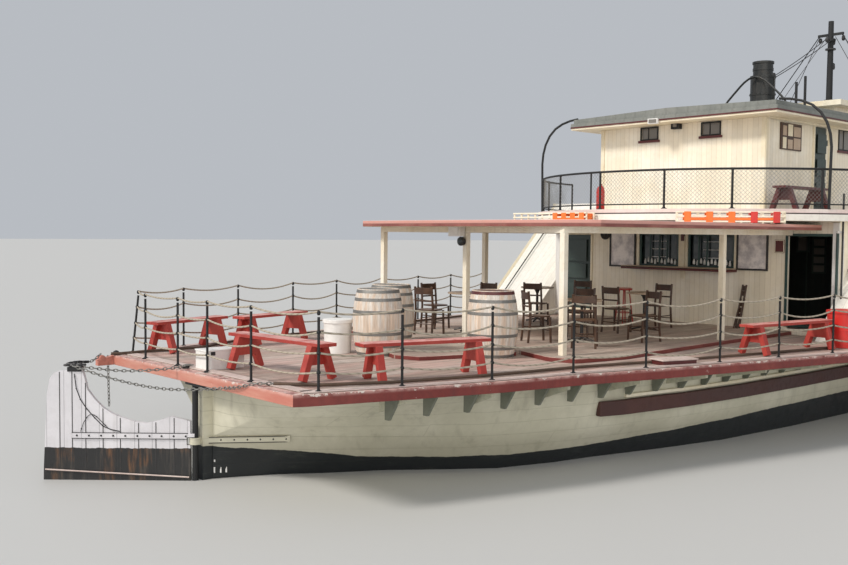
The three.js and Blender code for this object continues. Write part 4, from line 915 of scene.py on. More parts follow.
RED = Paint("bench_red", (0.40, 0.040, 0.030), (0.52, 0.095, 0.070), grime=(0.14, 0.03, 0.02),
        top=(0.72, 0.36, 0.32), chips=0.3, bare=(0.50, 0.36, 0.30), scale=3.0)
RED_DARK = Paint("wheel_red", (0.27, 0.03, 0.022), (0.36, 0.07, 0.05), dirt=0.3, drips=0.3, chips=0.25)
BRIGHT_RED = Paint("bin_red", (0.60, 0.018, 0.014), (0.68, 0.06, 0.045), chips=0.1, rough=0.34)
BLACK = Paint("black_iron", (0.018, 0.019, 0.021), (0.045, 0.045, 0.048), grime=(0.10, 0.06, 0.04),
        bare=(0.16, 0.10, 0.07), dirt=0.2, chips=0.15, rough=0.42, scale=4.0)
STACK = Paint("funnel_black", (0.010, 0.012, 0.012), (0.026, 0.029, 0.028), grime=(0.09, 0.07, 0.055),
        drips=0.4, dirt=0.2, chips=0.12, bare=(0.12, 0.08, 0.06), rough=0.36)
GREY_IRON = Paint("grey_iron", (0.20, 0.20, 0.19), (0.34, 0.33, 0.31), grime=(0.12, 0.08, 0.06), metal=0.5,
        dirt=0.25, chips=0.2, scale=4.0, rough=0.45)
DARK_GREEN = Paint("bulkhead_green", (0.010, 0.016, 0.014), (0.020, 0.028, 0.025), chips=0.05, rough=0.5)
GREEN = Paint("dark_green_gloss", (0.030, 0.048, 0.042), (0.055, 0.078, 0.070), grime=(0.02, 0.025, 0.02),
        chips=0.12, bare=(0.16, 0.15, 0.12), rough=0.3)
TEAL = Paint("teal_frame", (0.020, 0.055, 0.050), (0.040, 0.085, 0.078), grime=(0.02, 0.04, 0.035),
        chips=0.1, rough=0.3)
MACHINE = Paint("engine_paint", (0.055, 0.075, 0.07), (0.10, 0.12, 0.11), metal=0.3, dirt=0.3, rough=0.4)
ORANGE = Paint("float_orange", (0.90, 0.17, 0.025), (0.93, 0.26, 0.07), grime=(0.45, 0.10, 0.03), dirt=0.15,
        drips=0.2, chips=0.1, bare=(0.85, 0.5, 0.3), scale=4.0, rough=0.55)
CHAIR_WOOD = Paint("chair_brown", (0.055, 0.026, 0.014), (0.12, 0.058, 0.030), grime=(0.02, 0.01, 0.008),
        top=(0.20, 0.11, 0.065), chips=0.05, scale=6.0, rough=0.34)
TABLE_TOP = Paint("table_top", (0.48, 0.36, 0.26), (0.62, 0.50, 0.38), grime=(0.2, 0.13, 0.08), scale=5.0,
        chips=0.0, rough=0.4, boards=Boards.FORE_AND_AFT, pitch=0.09)
SPAR = Paint("varnished_spar", (0.34, 0.17, 0.07), (0.50, 0.30, 0.15), grime=(0.12, 0.06, 0.03), drips=0.2,
        rough=0.3, scale=2.5)
DECKING = PlankFinish("deck_planks")
PLATFORM_BOARDS = PlankFinish("platform_planks", wood=(0.55, 0.45, 0.375), pale=(0.70, 0.62, 0.53),
        painted=0.25, pitch=0.12)
SLAB = Paint("upper_deck_canvas", (0.60, 0.50, 0.42), (0.74, 0.66, 0.60), grime=(0.3, 0.25, 0.2),
        top=(0.80, 0.66, 0.62), chips=0.2, bare=(0.88, 0.84, 0.78))
ROPE = Laid("weathered_rope", (0.50, 0.44, 0.35), (0.20, 0.17, 0.13))
HOSE = Laid("white_hose", (0.80, 0.78, 0.72), (0.55, 0.52, 0.46), turns=60.0, rough=0.5)
HULL = HullPaint()
GUARD = GuardPaint()
IRON = Paint("rail_black", (0.008, 0.009, 0.010), (0.022, 0.022, 0.024), grime=(0.04, 0.03, 0.025), dirt=0.08,
        drips=0.05, chips=0.03, rough=0.62, scale=4.0, bare=(0.1, 0.07, 0.05))
WIRE = Paint("rail_wire", (0.26, 0.26, 0.25), (0.36, 0.36, 0.34), chips=0.0, metal=0.4, scale=4.0, rough=0.5)
STRAKE = Paint("strake_maroon", (0.060, 0.020, 0.016), (0.10, 0.036, 0.028), grime=(0.03, 0.02, 0.015),
        chips=0.1, bare=(0.25, 0.18, 0.14), rough=0.45)
# painted shade: a dull greenish cream standing for the shade on the deck's underside and the CAD knees
SHADED_UNDERSIDE = Paint("underside_painted_shade", (0.46, 0.45, 0.34), (0.58, 0.56, 0.44), grime=(0.04, 0.04, 0.035),
        chips=0.05, dirt=0.25, drips=0.2, rough=0.6)
RUSTY = Paint("rusty_rod", (0.075, 0.050, 0.035), (0.16, 0.10, 0.07), grime=(0.05, 0.03, 0.02),
        chips=0.0, rough=0.7)
# painted shade: the extra knees are a dark green-grey standing for the shade on their faces under the
# overhang
KNEE_SHADE = Paint("knee_painted_shade", (0.13, 0.14, 0.105), (0.21, 0.215, 0.17), grime=(0.04, 0.04, 0.035),
        chips=0.05, rough=0.5)
BRACKET = Paint("bracket_salmon", (0.55, 0.19, 0.14), (0.68, 0.32, 0.25), grime=(0.12, 0.06, 0.05), dirt=0.3,
        chips=0.35, bare=(0.70, 0.60, 0.55))
MARGIN = Paint("margin_pink", (0.62, 0.50, 0.46), (0.78, 0.68, 0.63), grime=(0.30, 0.22, 0.19), dirt=0.35,
        drips=0.1, chips=0.3, bare=(0.55, 0.46, 0.40), rough=0.6)
RUDDER = RudderPaint()
ROOF = RoofPaint()
OAK = OakStaves()
GLASS = Glass()
# a paler pane: its grey-brown is partly dust and partly painted shade of the room behind
PANE = Glass("dusty_pane", (0.20, 0.185, 0.165))
SHEET = Poster()


# ---------------------------------------------------------------- pieces

@dataclass
class Piece:
    """Gathers the surfaces of one piece and turns them into one object that rides on its body."""

    name: str
    slot: str
    finishes: list[Finish]
    body: str = "steamer"
    points: list[Array] = field(default_factory=list)
    faces: list[Array] = field(default_factory=list)
    paint: list[int] = field(default_factory=list)
    count: int = 0

    def add(self, shape: Shape, finish: int = 0) -> "Piece":
        """Adds a shape in one of the piece's finishes."""
        points, faces = shape
        self.points.append(points)
        for block in faces:
            self.faces.append(block + self.count)
            self.paint.append(finish)
        self.count += len(points)
        return self

    def box(self, centres: Array, sizes: Array, finish: int = 0, turns: Array | None = None) -> "Piece":
        """Adds boxes in one of the piece's finishes; the rest is as in blocks."""
        return self.add(blocks(centres, sizes, turns), finish)

    def make(self, *stands_for: str, bevel: float = 0.0, smooth: float = 35.0, ride: bool = True) -> Item:
        """Builds the object.

        Args:
            stands_for: CAD nodes that this piece replaces.
            bevel: Width of the rounded edges, none at 0.
            smooth: Edges flatter than this many degrees are shaded smooth.
            ride: The piece rides on its body here.
        Returns:
            The finished object.
        """
        mesh = bpy.data.meshes.new(self.name)
        corners = np.concatenate([f.ravel() for f in self.faces])
        sizes = np.concatenate([np.full(len(f), f.shape[1]) for f in self.faces])
        mesh.vertices.add(self.count)
        mesh.vertices.foreach_set("co", np.concatenate(self.points).astype(np.float32).ravel())
        mesh.loops.add(len(corners))
        mesh.loops.foreach_set("vertex_index", corners.astype(np.int32))
        mesh.polygons.add(len(sizes))
        mesh.polygons.foreach_set("loop_start", np.concatenate(([0], np.cumsum(sizes)[:-1])).astype(np.int32))
        paint = np.concatenate([np.full(len(f), p) for f, p in zip(self.faces, self.paint)])
        mesh.polygons.foreach_set("material_index", paint.astype(np.int32))
        mesh.update(calc_edges=True)
        return finish_object(self.name, mesh, self.body, self.finishes, stands_for,
                bevel, smooth, ride)


def stand(name: str, data: bpy.types.ID) -> Item:
    """Puts a new object with the given data into the scene."""
    made = bpy.data.objects.new(name, data)
    bpy.context.scene.collection.objects.link(made)
    return made


def finish_object(name: str, mesh: bpy.types.Mesh, body: str, finishes: list[Finish],
        stands_for: tuple, bevel: float, smooth: float, ride: bool = True) -> Item:
    """Merges doubles, turns faces outward, sets shading and finishes, and rides the object.

    Args:
        name: Name of the piece.
        mesh: Its mesh, with its place in it.
        body: Body that it rides on.
        finishes: Finishes in the order of the face numbers.
        stands_for: CAD nodes that it replaces.
        bevel: Width of rounded edges.
        smooth: Angle for smooth shading, in degrees.
        ride: The piece rides on its body here.
    Returns:
        The object.
    """
    bm = bmesh.new()
    bm.from_mesh(mesh)
    bmesh.ops.remove_doubles(bm, verts=bm.verts, dist=2e-5)
    bmesh.ops.recalc_face_normals(bm, faces=bm.faces)
    bm.to_mesh(mesh)
    bm.free()
    mesh.shade_smooth()
    mesh.set_sharp_from_angle(angle=math.radians(smooth))
    for finish in finishes:
        mesh.materials.append(finish.material())
    made = stand(name, mesh)
    if bevel:
        rounded = made.modifiers.new("edges", "BEVEL")
        rounded.width, rounded.segments, rounded.limit_method = bevel, 2, "ANGLE"
        rounded.angle_limit, rounded.harden_normals = math.radians(40), True
    if ride:
        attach(made, body)
    if stands_for:
        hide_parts(*stands_for)
    LOG.info("%s: %d faces", name, len(mesh.polygons))
    return made


def refined(node: str, slot: str, *finishes: Finish, bevel: float = 0.006, smooth: float = 32.0,
        choose: object = None) -> Item:
    """A merged copy of a CAD node with clean faces and rounded edges, standing for the node.

    Args:
        node: Name of the node.
        slot: Material slot of the record; not used.
        finishes: Its finishes, the first one for every face unless choose says otherwise.
        bevel: Width of the rounded edges.
        smooth: Angle for smooth shading, in degrees.
        choose: Gives each face's finish number from the faces' centres and normals, as whole arrays.
    Returns:
        The object.
    """
    source = frame["nodes"][node]
    mesh = source.data.copy()
    mesh.name = node + "_fine"
    mesh.materials.clear()
    bm = bmesh.new()
    bm.from_mesh(mesh)
    bmesh.ops.remove_doubles(bm, verts=bm.verts, dist=1e-5)
    bmesh.ops.dissolve_limit(bm, angle_limit=math.radians(0.6), verts=bm.verts, edges=bm.edges)
    bm.to_mesh(mesh)
    bm.free()
    if choose:
        centres, normals = np.empty(len(mesh.polygons) * 3), np.empty(len(mesh.polygons) * 3)
        mesh.polygons.foreach_get("center", centres)
        mesh.polygons.foreach_get("normal", normals)
        numbers = choose(centres.reshape(-1, 3), normals.reshape(-1, 3))
        mesh.polygons.foreach_set("material_index", np.asarray(numbers, np.int32))
    return finish_object(node + "_fine", mesh, source["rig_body"], list(finishes),
            (node,), bevel, smooth)


# ---------------------------------------------------------------- sub-assemblies

def reach_of(node: str) -> tuple[Array, Array, Array, Array]:
    """Low corner, high corner, middle and size of a CAD node's box."""
    low, high = (np.array(v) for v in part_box(node))
    return low, high, (low + high) / 2, high - low


def probe(node: str, starts: Array, direction: Array) -> Array:
    """Where straight lines from the starts first meet a CAD node.

    Args:
        node: Name of the node.
        starts: Start points, one a row.
        direction: Direction of the lines.
    Returns:
        The points met, one a row.
    """
    mesh = frame["nodes"][node].data
    tree = BVHTree.FromPolygons([v.co for v in mesh.vertices], [tuple(f.vertices) for f in mesh.polygons])
    found = [tree.ray_cast(Vector(p), Vector(direction))[0] for p in np.atleast_2d(starts)]
    return np.array([tuple(hit) for hit in found if hit])


@dataclass
class HullShell:
    """Hull with its strakes, sternpost and the small fittings on its side."""

    moulding_z: float = 0.995
    bolt_z: float = 0.545
    marks_station: float = 0.17
    marks_z: float = 0.12

    def build(self) -> None:
        """Smooth hull with the planked deck over it, strakes and sternpost."""
        refined("hull", "hull_paint", HULL, DECKING, bevel=0.0, smooth=38,
                choose=lambda c, n: (n[:, 2] > 0.8) & (c[:, 2] > 1.2))
        for side in ("port", "starboard"):
            refined(f"{side}_rubbing_strake", "maroon_paint", STRAKE, bevel=0.012)
        refined("sternpost", "white_paint", HULL, bevel=0.006)

    def dress(self) -> None:
        """Moulding above the strake, strap bolts and draught marks."""
        trim = Piece("hull_mouldings", "cream_paint", [TRIM])
        s = np.linspace(5.3, 28, 70)
        share = (self.moulding_z - 0.6) / 0.7
        low, high = (np.interp(s, HULL_SIDE[:, 0], HULL_SIDE[:, k]) for k in (2, 3))
        y = (1 - share) * low + share * high
        for side in (-1, 1):
            trim.add(band(ats(s, side * (y + 0.012), self.moulding_z), 0.05, 0.05))
        trim.make(bevel=0.006)
        bolts = Piece("hull_strap_bolts", "black_iron", [BLACK])
        for side in (-1, 1):
            outside = ats(np.arange(0.22, 1.0, 0.145), side * 4.0, self.bolt_z)
            seats = probe("sternpost", outside, (0, -side, 0))
            bolts.add(rivets(seats, (-0.45, side, 0), 0.013))
            for z in (self.bolt_z - 0.040, self.bolt_z + 0.040):
                rim = probe("sternpost", ats(np.linspace(0.08, 1.12, 9), side * 4.0, z), (0, -side, 0))
                bolts.add(tubes(rim + (0, side * 0.002, 0), 0.006, 6))
        bolts.make()
        marks = Piece("draught_marks", "white_paint", [WHITE])
        for side in (-1, 1):
            for row, high in enumerate((0.08, 0.03)):
                for k in range(3 if row == 0 else 1):
                    z = self.marks_z + 0.13 * row
                    seat = probe("hull", [at(self.marks_station + 0.07 * k, side * 4.0, z)], (0, -side, 0))
                    marks.box(seat, (0.02, 0.012, high), turns=yaw(side * 0.9))
        marks.make()


@dataclass
class MainDeck:
    """Main deck, its edge board, knees, hatch and bitts."""

    knee_pitch: float = 0.58
    knee_first: float = 0.62
    knee_drop: float = 0.30
    knee_reach: float = 0.22
    least_room: float = 0.25
    wheels: tuple = (11.6, 17.4)
    counter: tuple = ((1.5, 2.56), (2.3, 2.78), (3.0, 2.92), (3.6, 3.02), (4.5, 3.17))
    starboard_rod: tuple = ((0.04, -1.75), (0.45, -2.2), (1.3, -2.59), (2.8, -2.93), (4.31, -3.13),
            (5.26, -3.36), (6.76, -3.70), (9.0, -4.12), (9.76, -4.24))
    port_rod: tuple = ((-0.22, 2.34), (-0.13, 2.28), (0.41, 2.30), (1.33, 2.25), (1.95, 2.64), (2.8, 3.02),
            (4.31, 3.16), (5.26, 3.40), (6.76, 3.70), (9.0, 4.16), (10.4, 4.45))

    def build(self) -> None:
        """Deck planks, guard, hatch and bitts."""
        # faces that do not look up, the deck's underside and the CAD knees, get a greenish cream darkened as
        # painted shade
        refined("main_deck", "deck_planks", DECKING, SHADED_UNDERSIDE, bevel=0.0, choose=lambda c, n: n[:, 2] < 0.5)
        refined("deck_guard", "maroon_paint", GUARD, BRACKET, bevel=0.012,
                choose=lambda c, n: (c[:, 0] < STERN - 0.185).astype(int))
        refined("hatch_coaming", "maroon_paint", MAROON, bevel=0.01)
        refined("hatch_lid", "deck_planks", PLATFORM_BOARDS, bevel=0.008)
        refined("bow_bitts", "black_iron", BLACK, bevel=0.012)

    def dress(self) -> None:
        """Knees between the CAD ones in a dark green-grey that is painted shade, the pale margin board and
        the steering rods inside both edges.
        """
        knees = Piece("extra_knees", "cream_paint", [KNEE_SHADE])
        hull_top = np.concatenate((self.counter, HULL_SIDE[:, [0, 3]]))
        for s in np.arange(self.knee_first, 29.0, self.knee_pitch):
            outer, inner = float(edge(s)) - 0.09, float(np.interp(s, *hull_top.T))
            if outer - inner < self.least_room or self.wheels[0] < s < self.wheels[1]:
                continue
            top = DECK - 0.146 + float(sheer(s))
            reach = min(outer, inner + self.knee_reach)
            outline = [(inner - 0.02, top), (reach, top), (reach, top - 0.05),
                    (inner + 0.06, top - self.knee_drop), (inner - 0.02, top - self.knee_drop)]
            for side in (-1, 1):
                turn = np.array(((0, 0, 1), (side, 0, 0), (0, 1, 0)), float)
                knees.add(prism(outline, -0.022, 0.022, at(s, 0, 0), turn))
        knees.make(bevel=0.004)
        rods = Piece("steering_rods", "black_iron", [RUSTY])
        for table in (self.starboard_rod, self.port_rod):
            line = along(np.array([at(u, y, DECK + 0.03) for u, y in table]), 0.15)
            rods.add(tubes(line, 0.022, 8))
        rods.make(smooth=50)
        margin = Piece("deck_margin", "deck_planks", [MARGIN])
        s = np.linspace(0.0, 11.4, 70)
        for side in (-1, 1):
            margin.add(band(ats(s, side * (edge(s) - 0.155), DECK + 0.006), 0.17, 0.008))
        margin.add(band(np.array((at(0.09, -2.4, DECK + 0.006), at(0.09, 2.4, DECK + 0.006))), 0.17, 0.008))
        margin.make()


@dataclass
class Rudder:
    """Plank rudder, its irons, bolts and the seams between its planks."""

    half_thick: float = 0.035
    seams: tuple = (0.281, 0.53, 0.766, 1.015, 1.251, 1.487, 1.67, 1.84)
    outline: tuple = ((0.06, -0.68), (0.15, -0.655), (0.32, -0.615), (0.5, -0.68), (0.66, -0.71),
            (0.82, -0.69), (1.025, -0.625), (1.13, -0.58), (1.26, -0.495), (1.365, -0.385), (1.465, -0.25),
            (1.505, -0.07), (1.53, 0.005), (1.7, 0.01), (1.85, -0.005), (1.925, -0.04),
            (1.975, -0.11), (2.065, -1.32))
    brace: tuple = ((1.635, -0.04), (1.61, -0.24), (1.555, -0.39), (1.476, -0.51), (1.36, -0.645),
            (1.25, -0.755), (1.13, -0.805), (1.02, -0.825))
    small_brace: tuple = ((1.555, -0.83), (1.52, -0.72), (1.46, -0.62), (1.41, -0.59), (1.35, -0.61),
            (1.27, -0.69), (1.19, -0.77))

    def on_blade(self, points: Array, off: float) -> Array:
        """Points (distance aft of the stock, height above the deck), moved off the blade's middle plane."""
        points = np.atleast_2d(points)
        rise = (points[:, 1:] + DECK) * np.array((0, 0, 1.0))
        return STOCK + points[:, :1] * BLADE_AFT + off * BLADE_SIDE + rise

    def build(self) -> None:
        """The blade in its paint, its stock and head in black."""

        def parts(centres: Array, normals: Array) -> Array:
            """Stock and head block are black."""
            s, off = (centres - STOCK) @ BLADE_AFT, np.abs((centres - STOCK) @ BLADE_SIDE)
            block = (off > 0.045) & (s > 1.5) & (s < 1.75) & (centres[:, 2] > DECK - 0.1)
            return ((s < 0.055) | (centres[:, 2] > DECK + 0.02) | block).astype(int)

        refined("rudder", "white_paint", RUDDER, IRON, bevel=0.006, choose=parts)

    def dress(self) -> None:
        """Seams, braces, rivets, the bolts of the strap and the head's irons, on both faces."""
        seams = Piece("rudder_seams", "black_iron", [BLACK], "rudder")
        irons = Piece("rudder_braces", "black_iron", [MARGIN, IRON], "rudder")
        out = np.array(self.outline)
        turn = yaw(RUDDER_TURN)
        for side in (-1, 1):
            off = side * (self.half_thick + 0.001)
            top = np.interp(self.seams, out[:, 0], out[:, 1]) - 0.012
            mid = np.stack((self.seams, (top - 1.62) / 2), -1)
            size = np.stack((np.full(8, 0.011), np.full(8, 0.004), top + 1.62), -1)
            seams.box(self.on_blade(mid, off), size, turns=turn)
            for line, wide in ((self.brace, 0.012), (self.small_brace, 0.009)):
                path = self.on_blade(along(np.insert(np.array(line), 1, 0, axis=1), 0.04)[:, [0, 2]],
                        off + side * 0.006)
                irons.add(tubes(path, wide / 2, 8, aspect=0.6), 1)
                irons.add(rivets(path[1::4] + side * 0.004 * BLADE_SIDE, side * BLADE_SIDE, 0.010), 1)
            row = np.stack((np.arange(0.12, 1.67, 0.165), np.full(10, -0.885)), -1)
            strap = self.on_blade(row, side * 0.3)
            seats = probe("rudder", strap, -side * BLADE_SIDE)
            irons.add(rivets(seats, side * BLADE_SIDE, 0.015), 1)
            for low in (-0.924, -0.846):
                line = self.on_blade([(0.09, low), (1.675, low)], off + side * 0.012)
                irons.add(tubes(line, 0.005, 6), 1)
            line = self.on_blade([(0.075, -1.448), (2.04, -1.353)], off + side * 0.014)
            irons.add(tubes(line, 0.011, 4))
        seams.make()
        irons.make()
        head = Piece("rudder_head_irons", "black_iron", [BLACK], "rudder")
        top = self.on_blade([(1.56, 0.075), (1.64, 0.075), (1.72, 0.075)], 0.0)
        link = tubes(circle(12, 0.06) * (1, 0.6, 1), 0.016, 6, closed=True)
        head.add(copies(link, top, yaw(RUDDER_TURN + 0.5)))
        head.add(lathe([(0.03, 0), (0.034, 0.02), (0.03, 0.07), (0.016, 0.09)], top[:2] - (0, 0, 0.06), 10))
        head.make(smooth=50)


@dataclass
class SteeringGear:
    """Chains from the rudder head to the two corners of the stern."""

    head: tuple = (-18.31, 1.107, 1.565)
    chains: tuple = (("port", (0, 0, 0), ((-0.375, 2.40, 1.515), (-0.476, 2.37, 1.45), (-0.773, 2.29, 1.45))),
            ("middle", (0, -0.05, 0), ((0.05, 0.34, 1.54), (-0.25, 0.36, 1.52), (-0.8, 0.66, 1.50))),
            ("starboard", (-0.03, -0.1, 0),
            ((0.04, -1.75, 1.535), (-0.14, -1.60, 1.525), (-0.205, -1.38, 1.47), (-0.215, -0.95, 1.40),
            (-0.62, -0.1, 1.33), (-1.0, 0.6, 1.42))))

    def build(self) -> None:
        """Each chain is one hanging line of links, its far end at the rudder head."""
        for name, shackle, stations in self.chains:
            points = [at(*p) for p in stations] + [np.array(self.head) + shackle]
            smooth = self.rounded(np.array(points))
            links = Piece(f"{name}_steering_chain", "black_iron", [GREY_IRON, IRON], "rudder")
            links.add(chain(smooth, 0.055, 0.007))
            if name == "port":
                links.add(tubes(smooth[5:18], 0.02, 8), 1)
            made = links.make(ride=False, smooth=60)
            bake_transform(made)

    def dress(self) -> None:
        """The chain that hangs from the corner, the shackle on deck and the iron under the stern face."""
        ends = Piece("steering_ends", "black_iron", [IRON, GREY_IRON])
        ends.add(chain(np.array((at(-0.235, 2.42, 1.46), at(-0.215, 2.43, 0.74))), 0.055, 0.007), 1)
        ends.add(lathe([(0.05, 0), (0.055, 0.03), (0.035, 0.06), (0.01, 0.07)], [at(-0.12, 2.38, DECK)], 12))
        ends.add(lathe([(0.05, 0), (0.055, 0.02), (0.04, 0.04), (0.02, 0.05)], [at(-0.02, 0.36, DECK)], 10))
        ends.box(at(-0.11, -0.25, 1.337), (0.10, 0.75, 0.03))
        shackle = circle(14, 0.05) * (1, 0.7, 1)
        ends.add(copies(tubes(shackle, 0.011, 6, closed=True), [at(0.0, 0.36, 1.545)]), 1)
        ends.make(smooth=50)

    @staticmethod
    def rounded(points: Array) -> Array:
        """A cubic curve through the points, its slope at each being their gradient along the run."""
        run = np.concatenate(([0], np.cumsum(np.linalg.norm(np.diff(points, axis=0), axis=1))))
        s = np.linspace(0, run[-1], 40)
        slope = np.gradient(points, run, axis=0)
        k = np.clip(np.searchsorted(run, s, side="right") - 1, 0, len(run) - 2)
        h = (run[k + 1] - run[k])[:, None]
        t = ((s - run[k])[:, None]) / h
        start = points[k] * (1 + 2 * t) * (1 - t) ** 2 + slope[k] * h * t * (1 - t) ** 2
        return start + points[k + 1] * t * t * (3 - 2 * t) + slope[k + 1] * h * t * t * (t - 1)


@dataclass
class LifeLines:
    """Posts round the edge of the main deck and the ropes through their eyes."""

    high: float = 0.90
    bar: float = 0.017
    inset: float = 0.14
    rows: tuple = (0.965, 0.72, 0.47, 0.235)
    sags: tuple = (0.07, 0.085, 0.07, 0.06)
    rope: float = 0.0125
    after: tuple = (0.2, 1.25, 2.5, 3.84, 5.09, 6.51, 7.78, 9.03, 10.35)
    stern: tuple = (1.66, 0.66, -0.17, -1.275)
    fore: tuple = (18.4, 20.2, 22.0, 23.8, 25.6, 27.4, 29.2, 31.0, 32.3, 33.3)

    def posts(self, feet: Array, tops: Array, piece: Piece) -> None:
        """Adds posts with a ball and an eye at the top, a foot plate and rings for the lower ropes.

        Args:
            feet: Foot of each post.
            tops: Top of each post.
            piece: The piece that takes them.
        """
        piece.add(spans(feet, tops, self.bar, sides=10))
        ball = [(0.004, -0.03), (0.018, -0.024), (0.024, 0.0), (0.018, 0.024), (0.004, 0.03)]
        piece.add(lathe(ball, tops + (0, 0, 0.05), 10))
        piece.add(lathe([(0.05, 0), (0.05, 0.012), (0.024, 0.022), (0.02, 0.03)], feet, 12))
        rise = (tops - feet) / self.high
        for row in self.rows[1:]:
            piece.add(lathe([(0.017, -0.02), (0.026, -0.012), (0.026, 0.012), (0.017, 0.02)],
                    feet + rise * row, 8))

    def ropes(self, feet: Array, tops: Array, piece: Piece) -> None:
        """Adds four sagging ropes between each post and the next.

        Args:
            feet: Foot of each post.
            tops: Top of each post.
            piece: The piece that takes them.
        """
        rise = (tops - feet) / self.high
        span = np.linalg.norm(np.diff(feet, axis=0), axis=1)
        for row, sag in zip(self.rows, self.sags):
            line = feet + rise * row
            drop = sag * (span / 1.35) ** 2 * (1 + 0.25 * np.sin(3.7 * np.arange(len(span)) + 9 * row))
            piece.add(spans(line[:-1], line[1:], self.rope, np.minimum(drop, 0.16), 10, 8))

    def build(self) -> None:
        """After rail round the stern, one fore rail a side."""
        s = np.array(self.after)
        y = edge(s) - self.inset
        side = ats(s, y, DECK)
        stern = np.array([at(0.015, v, DECK) for v in self.stern])
        feet = np.concatenate((side[::-1], stern, side * (1, -1, 1)))
        lean = np.zeros_like(feet)
        lean[len(s) - 1] = (0.09, -0.02, 0)
        posts = Piece("after_posts", "black_iron", [IRON])
        ropes = Piece("after_ropes", "black_iron", [ROPE])
        self.posts(feet, feet + lean + (0, 0, self.high), posts)
        self.ropes(feet, feet + lean + (0, 0, self.high), ropes)
        posts.make("after_rail", smooth=50)
        ropes.make(smooth=60)

    def dress(self) -> None:
        """Fore rail."""
        s = np.array(self.fore)
        posts = Piece("fore_posts", "black_iron", [IRON])
        ropes = Piece("fore_ropes", "black_iron", [ROPE])
        for way in (-1, 1):
            feet = ats(s, way * np.maximum(edge(s) - self.inset, 0.06), DECK + sheer(s))
            self.posts(feet, feet + (0, 0, self.high), posts)
            self.ropes(feet, feet + (0, 0, self.high), ropes)
        posts.make("fore_rail", smooth=50)
        ropes.make(smooth=60)


@dataclass
class Benches:
    """Trestle benches: a plank seat over two splayed pairs of legs with a cross board."""

    thick: float = 0.045
    overhang: float = 0.22
    splay: float = 0.252

    def bench(self, name: str, a: Array, b: Array, floor: float, tall: float = 0.50) -> None:
        """One bench between two trestles.

        Args:
            name: CAD node that it stands for.
            a: Middle of the first trestle, in plan.
            b: Middle of the second trestle, in plan.
            floor: Height of the floor.
            tall: Height of the seat over the floor.
        """
        a, b = np.array((*a, floor)), np.array((*b, floor))
        run = float(np.linalg.norm(b - a))
        turn = yaw(math.atan2(b[1] - a[1], b[0] - a[0]))[0]
        mid = (a + b) / 2
        piece = Piece(f"{name}_fine", "red_paint", [RED if floor < 2 else DARK_MAROON])

        def place(local: Array) -> Array:
            """Points of the bench's own frame, in the steamer's."""
            return mid + np.atleast_2d(local) @ turn.T

        top = tall - self.thick / 2
        piece.box(place([(0, -0.069, top), (0, 0.069, top)]),
                (run + 2 * self.overhang, 0.132, self.thick), turns=turn)
        for end in (-1, 1):
            x = end * run / 2
            for way in (-1, 1):
                leg = np.array(((0, way * self.splay, 0.0), (0, way * 0.095, tall - self.thick)))
                tilt = axes(leg[1] - leg[0], (1, 0, 0))
                centre = place((x, (leg[0, 1] + leg[1, 1]) / 2, (tall - self.thick) / 2 + 0.004))
                length = float(np.linalg.norm(leg[1] - leg[0])) - 0.02
                piece.box(centre, (length, 0.085, 0.10), turns=turn @ tilt)
                piece.box(place((x + end * 0.03, way * 0.12, tall - 0.15)), (0.02, 0.06, 0.05), turns=turn)
            gusset = [(-0.12, tall - self.thick), (0.12, tall - self.thick), (0.20, 0.20), (-0.20, 0.20)]
            upright = turn @ np.array(((0, 0, 1), (1, 0, 0), (0, 1, 0)), float)
            piece.add(prism(gusset, -0.012, 0.012, place((x - end * 0.035, 0, 0))[0], upright))
        piece.make(name, bevel=0.004)

    def build(self) -> None:
        """The five benches on the main deck."""
        for name, a, b in (("bench_starboard_aft", (1.29, -2.2), (2.72, -2.57)),
                ("bench_stern", (0.62, -0.16), (0.725, -1.73)),
                ("bench_port_aft", (0.56, 2.19), (1.64, 2.51)), ("bench_port", (2.17, 2.29), (3.33, 2.6)),
                ("bench_starboard_mid", (7.84, -3.83), (9.56, -4.06))):
            self.bench(name, (a[0] + STERN, a[1]), (b[0] + STERN, b[1]), DECK)

    def dress(self) -> None:
        """The darker bench on the upper deck."""
        self.bench("bench_upper_deck", (11.2 + STERN, -2.48), (12.5 + STERN, -2.48), UPPER, 0.47)


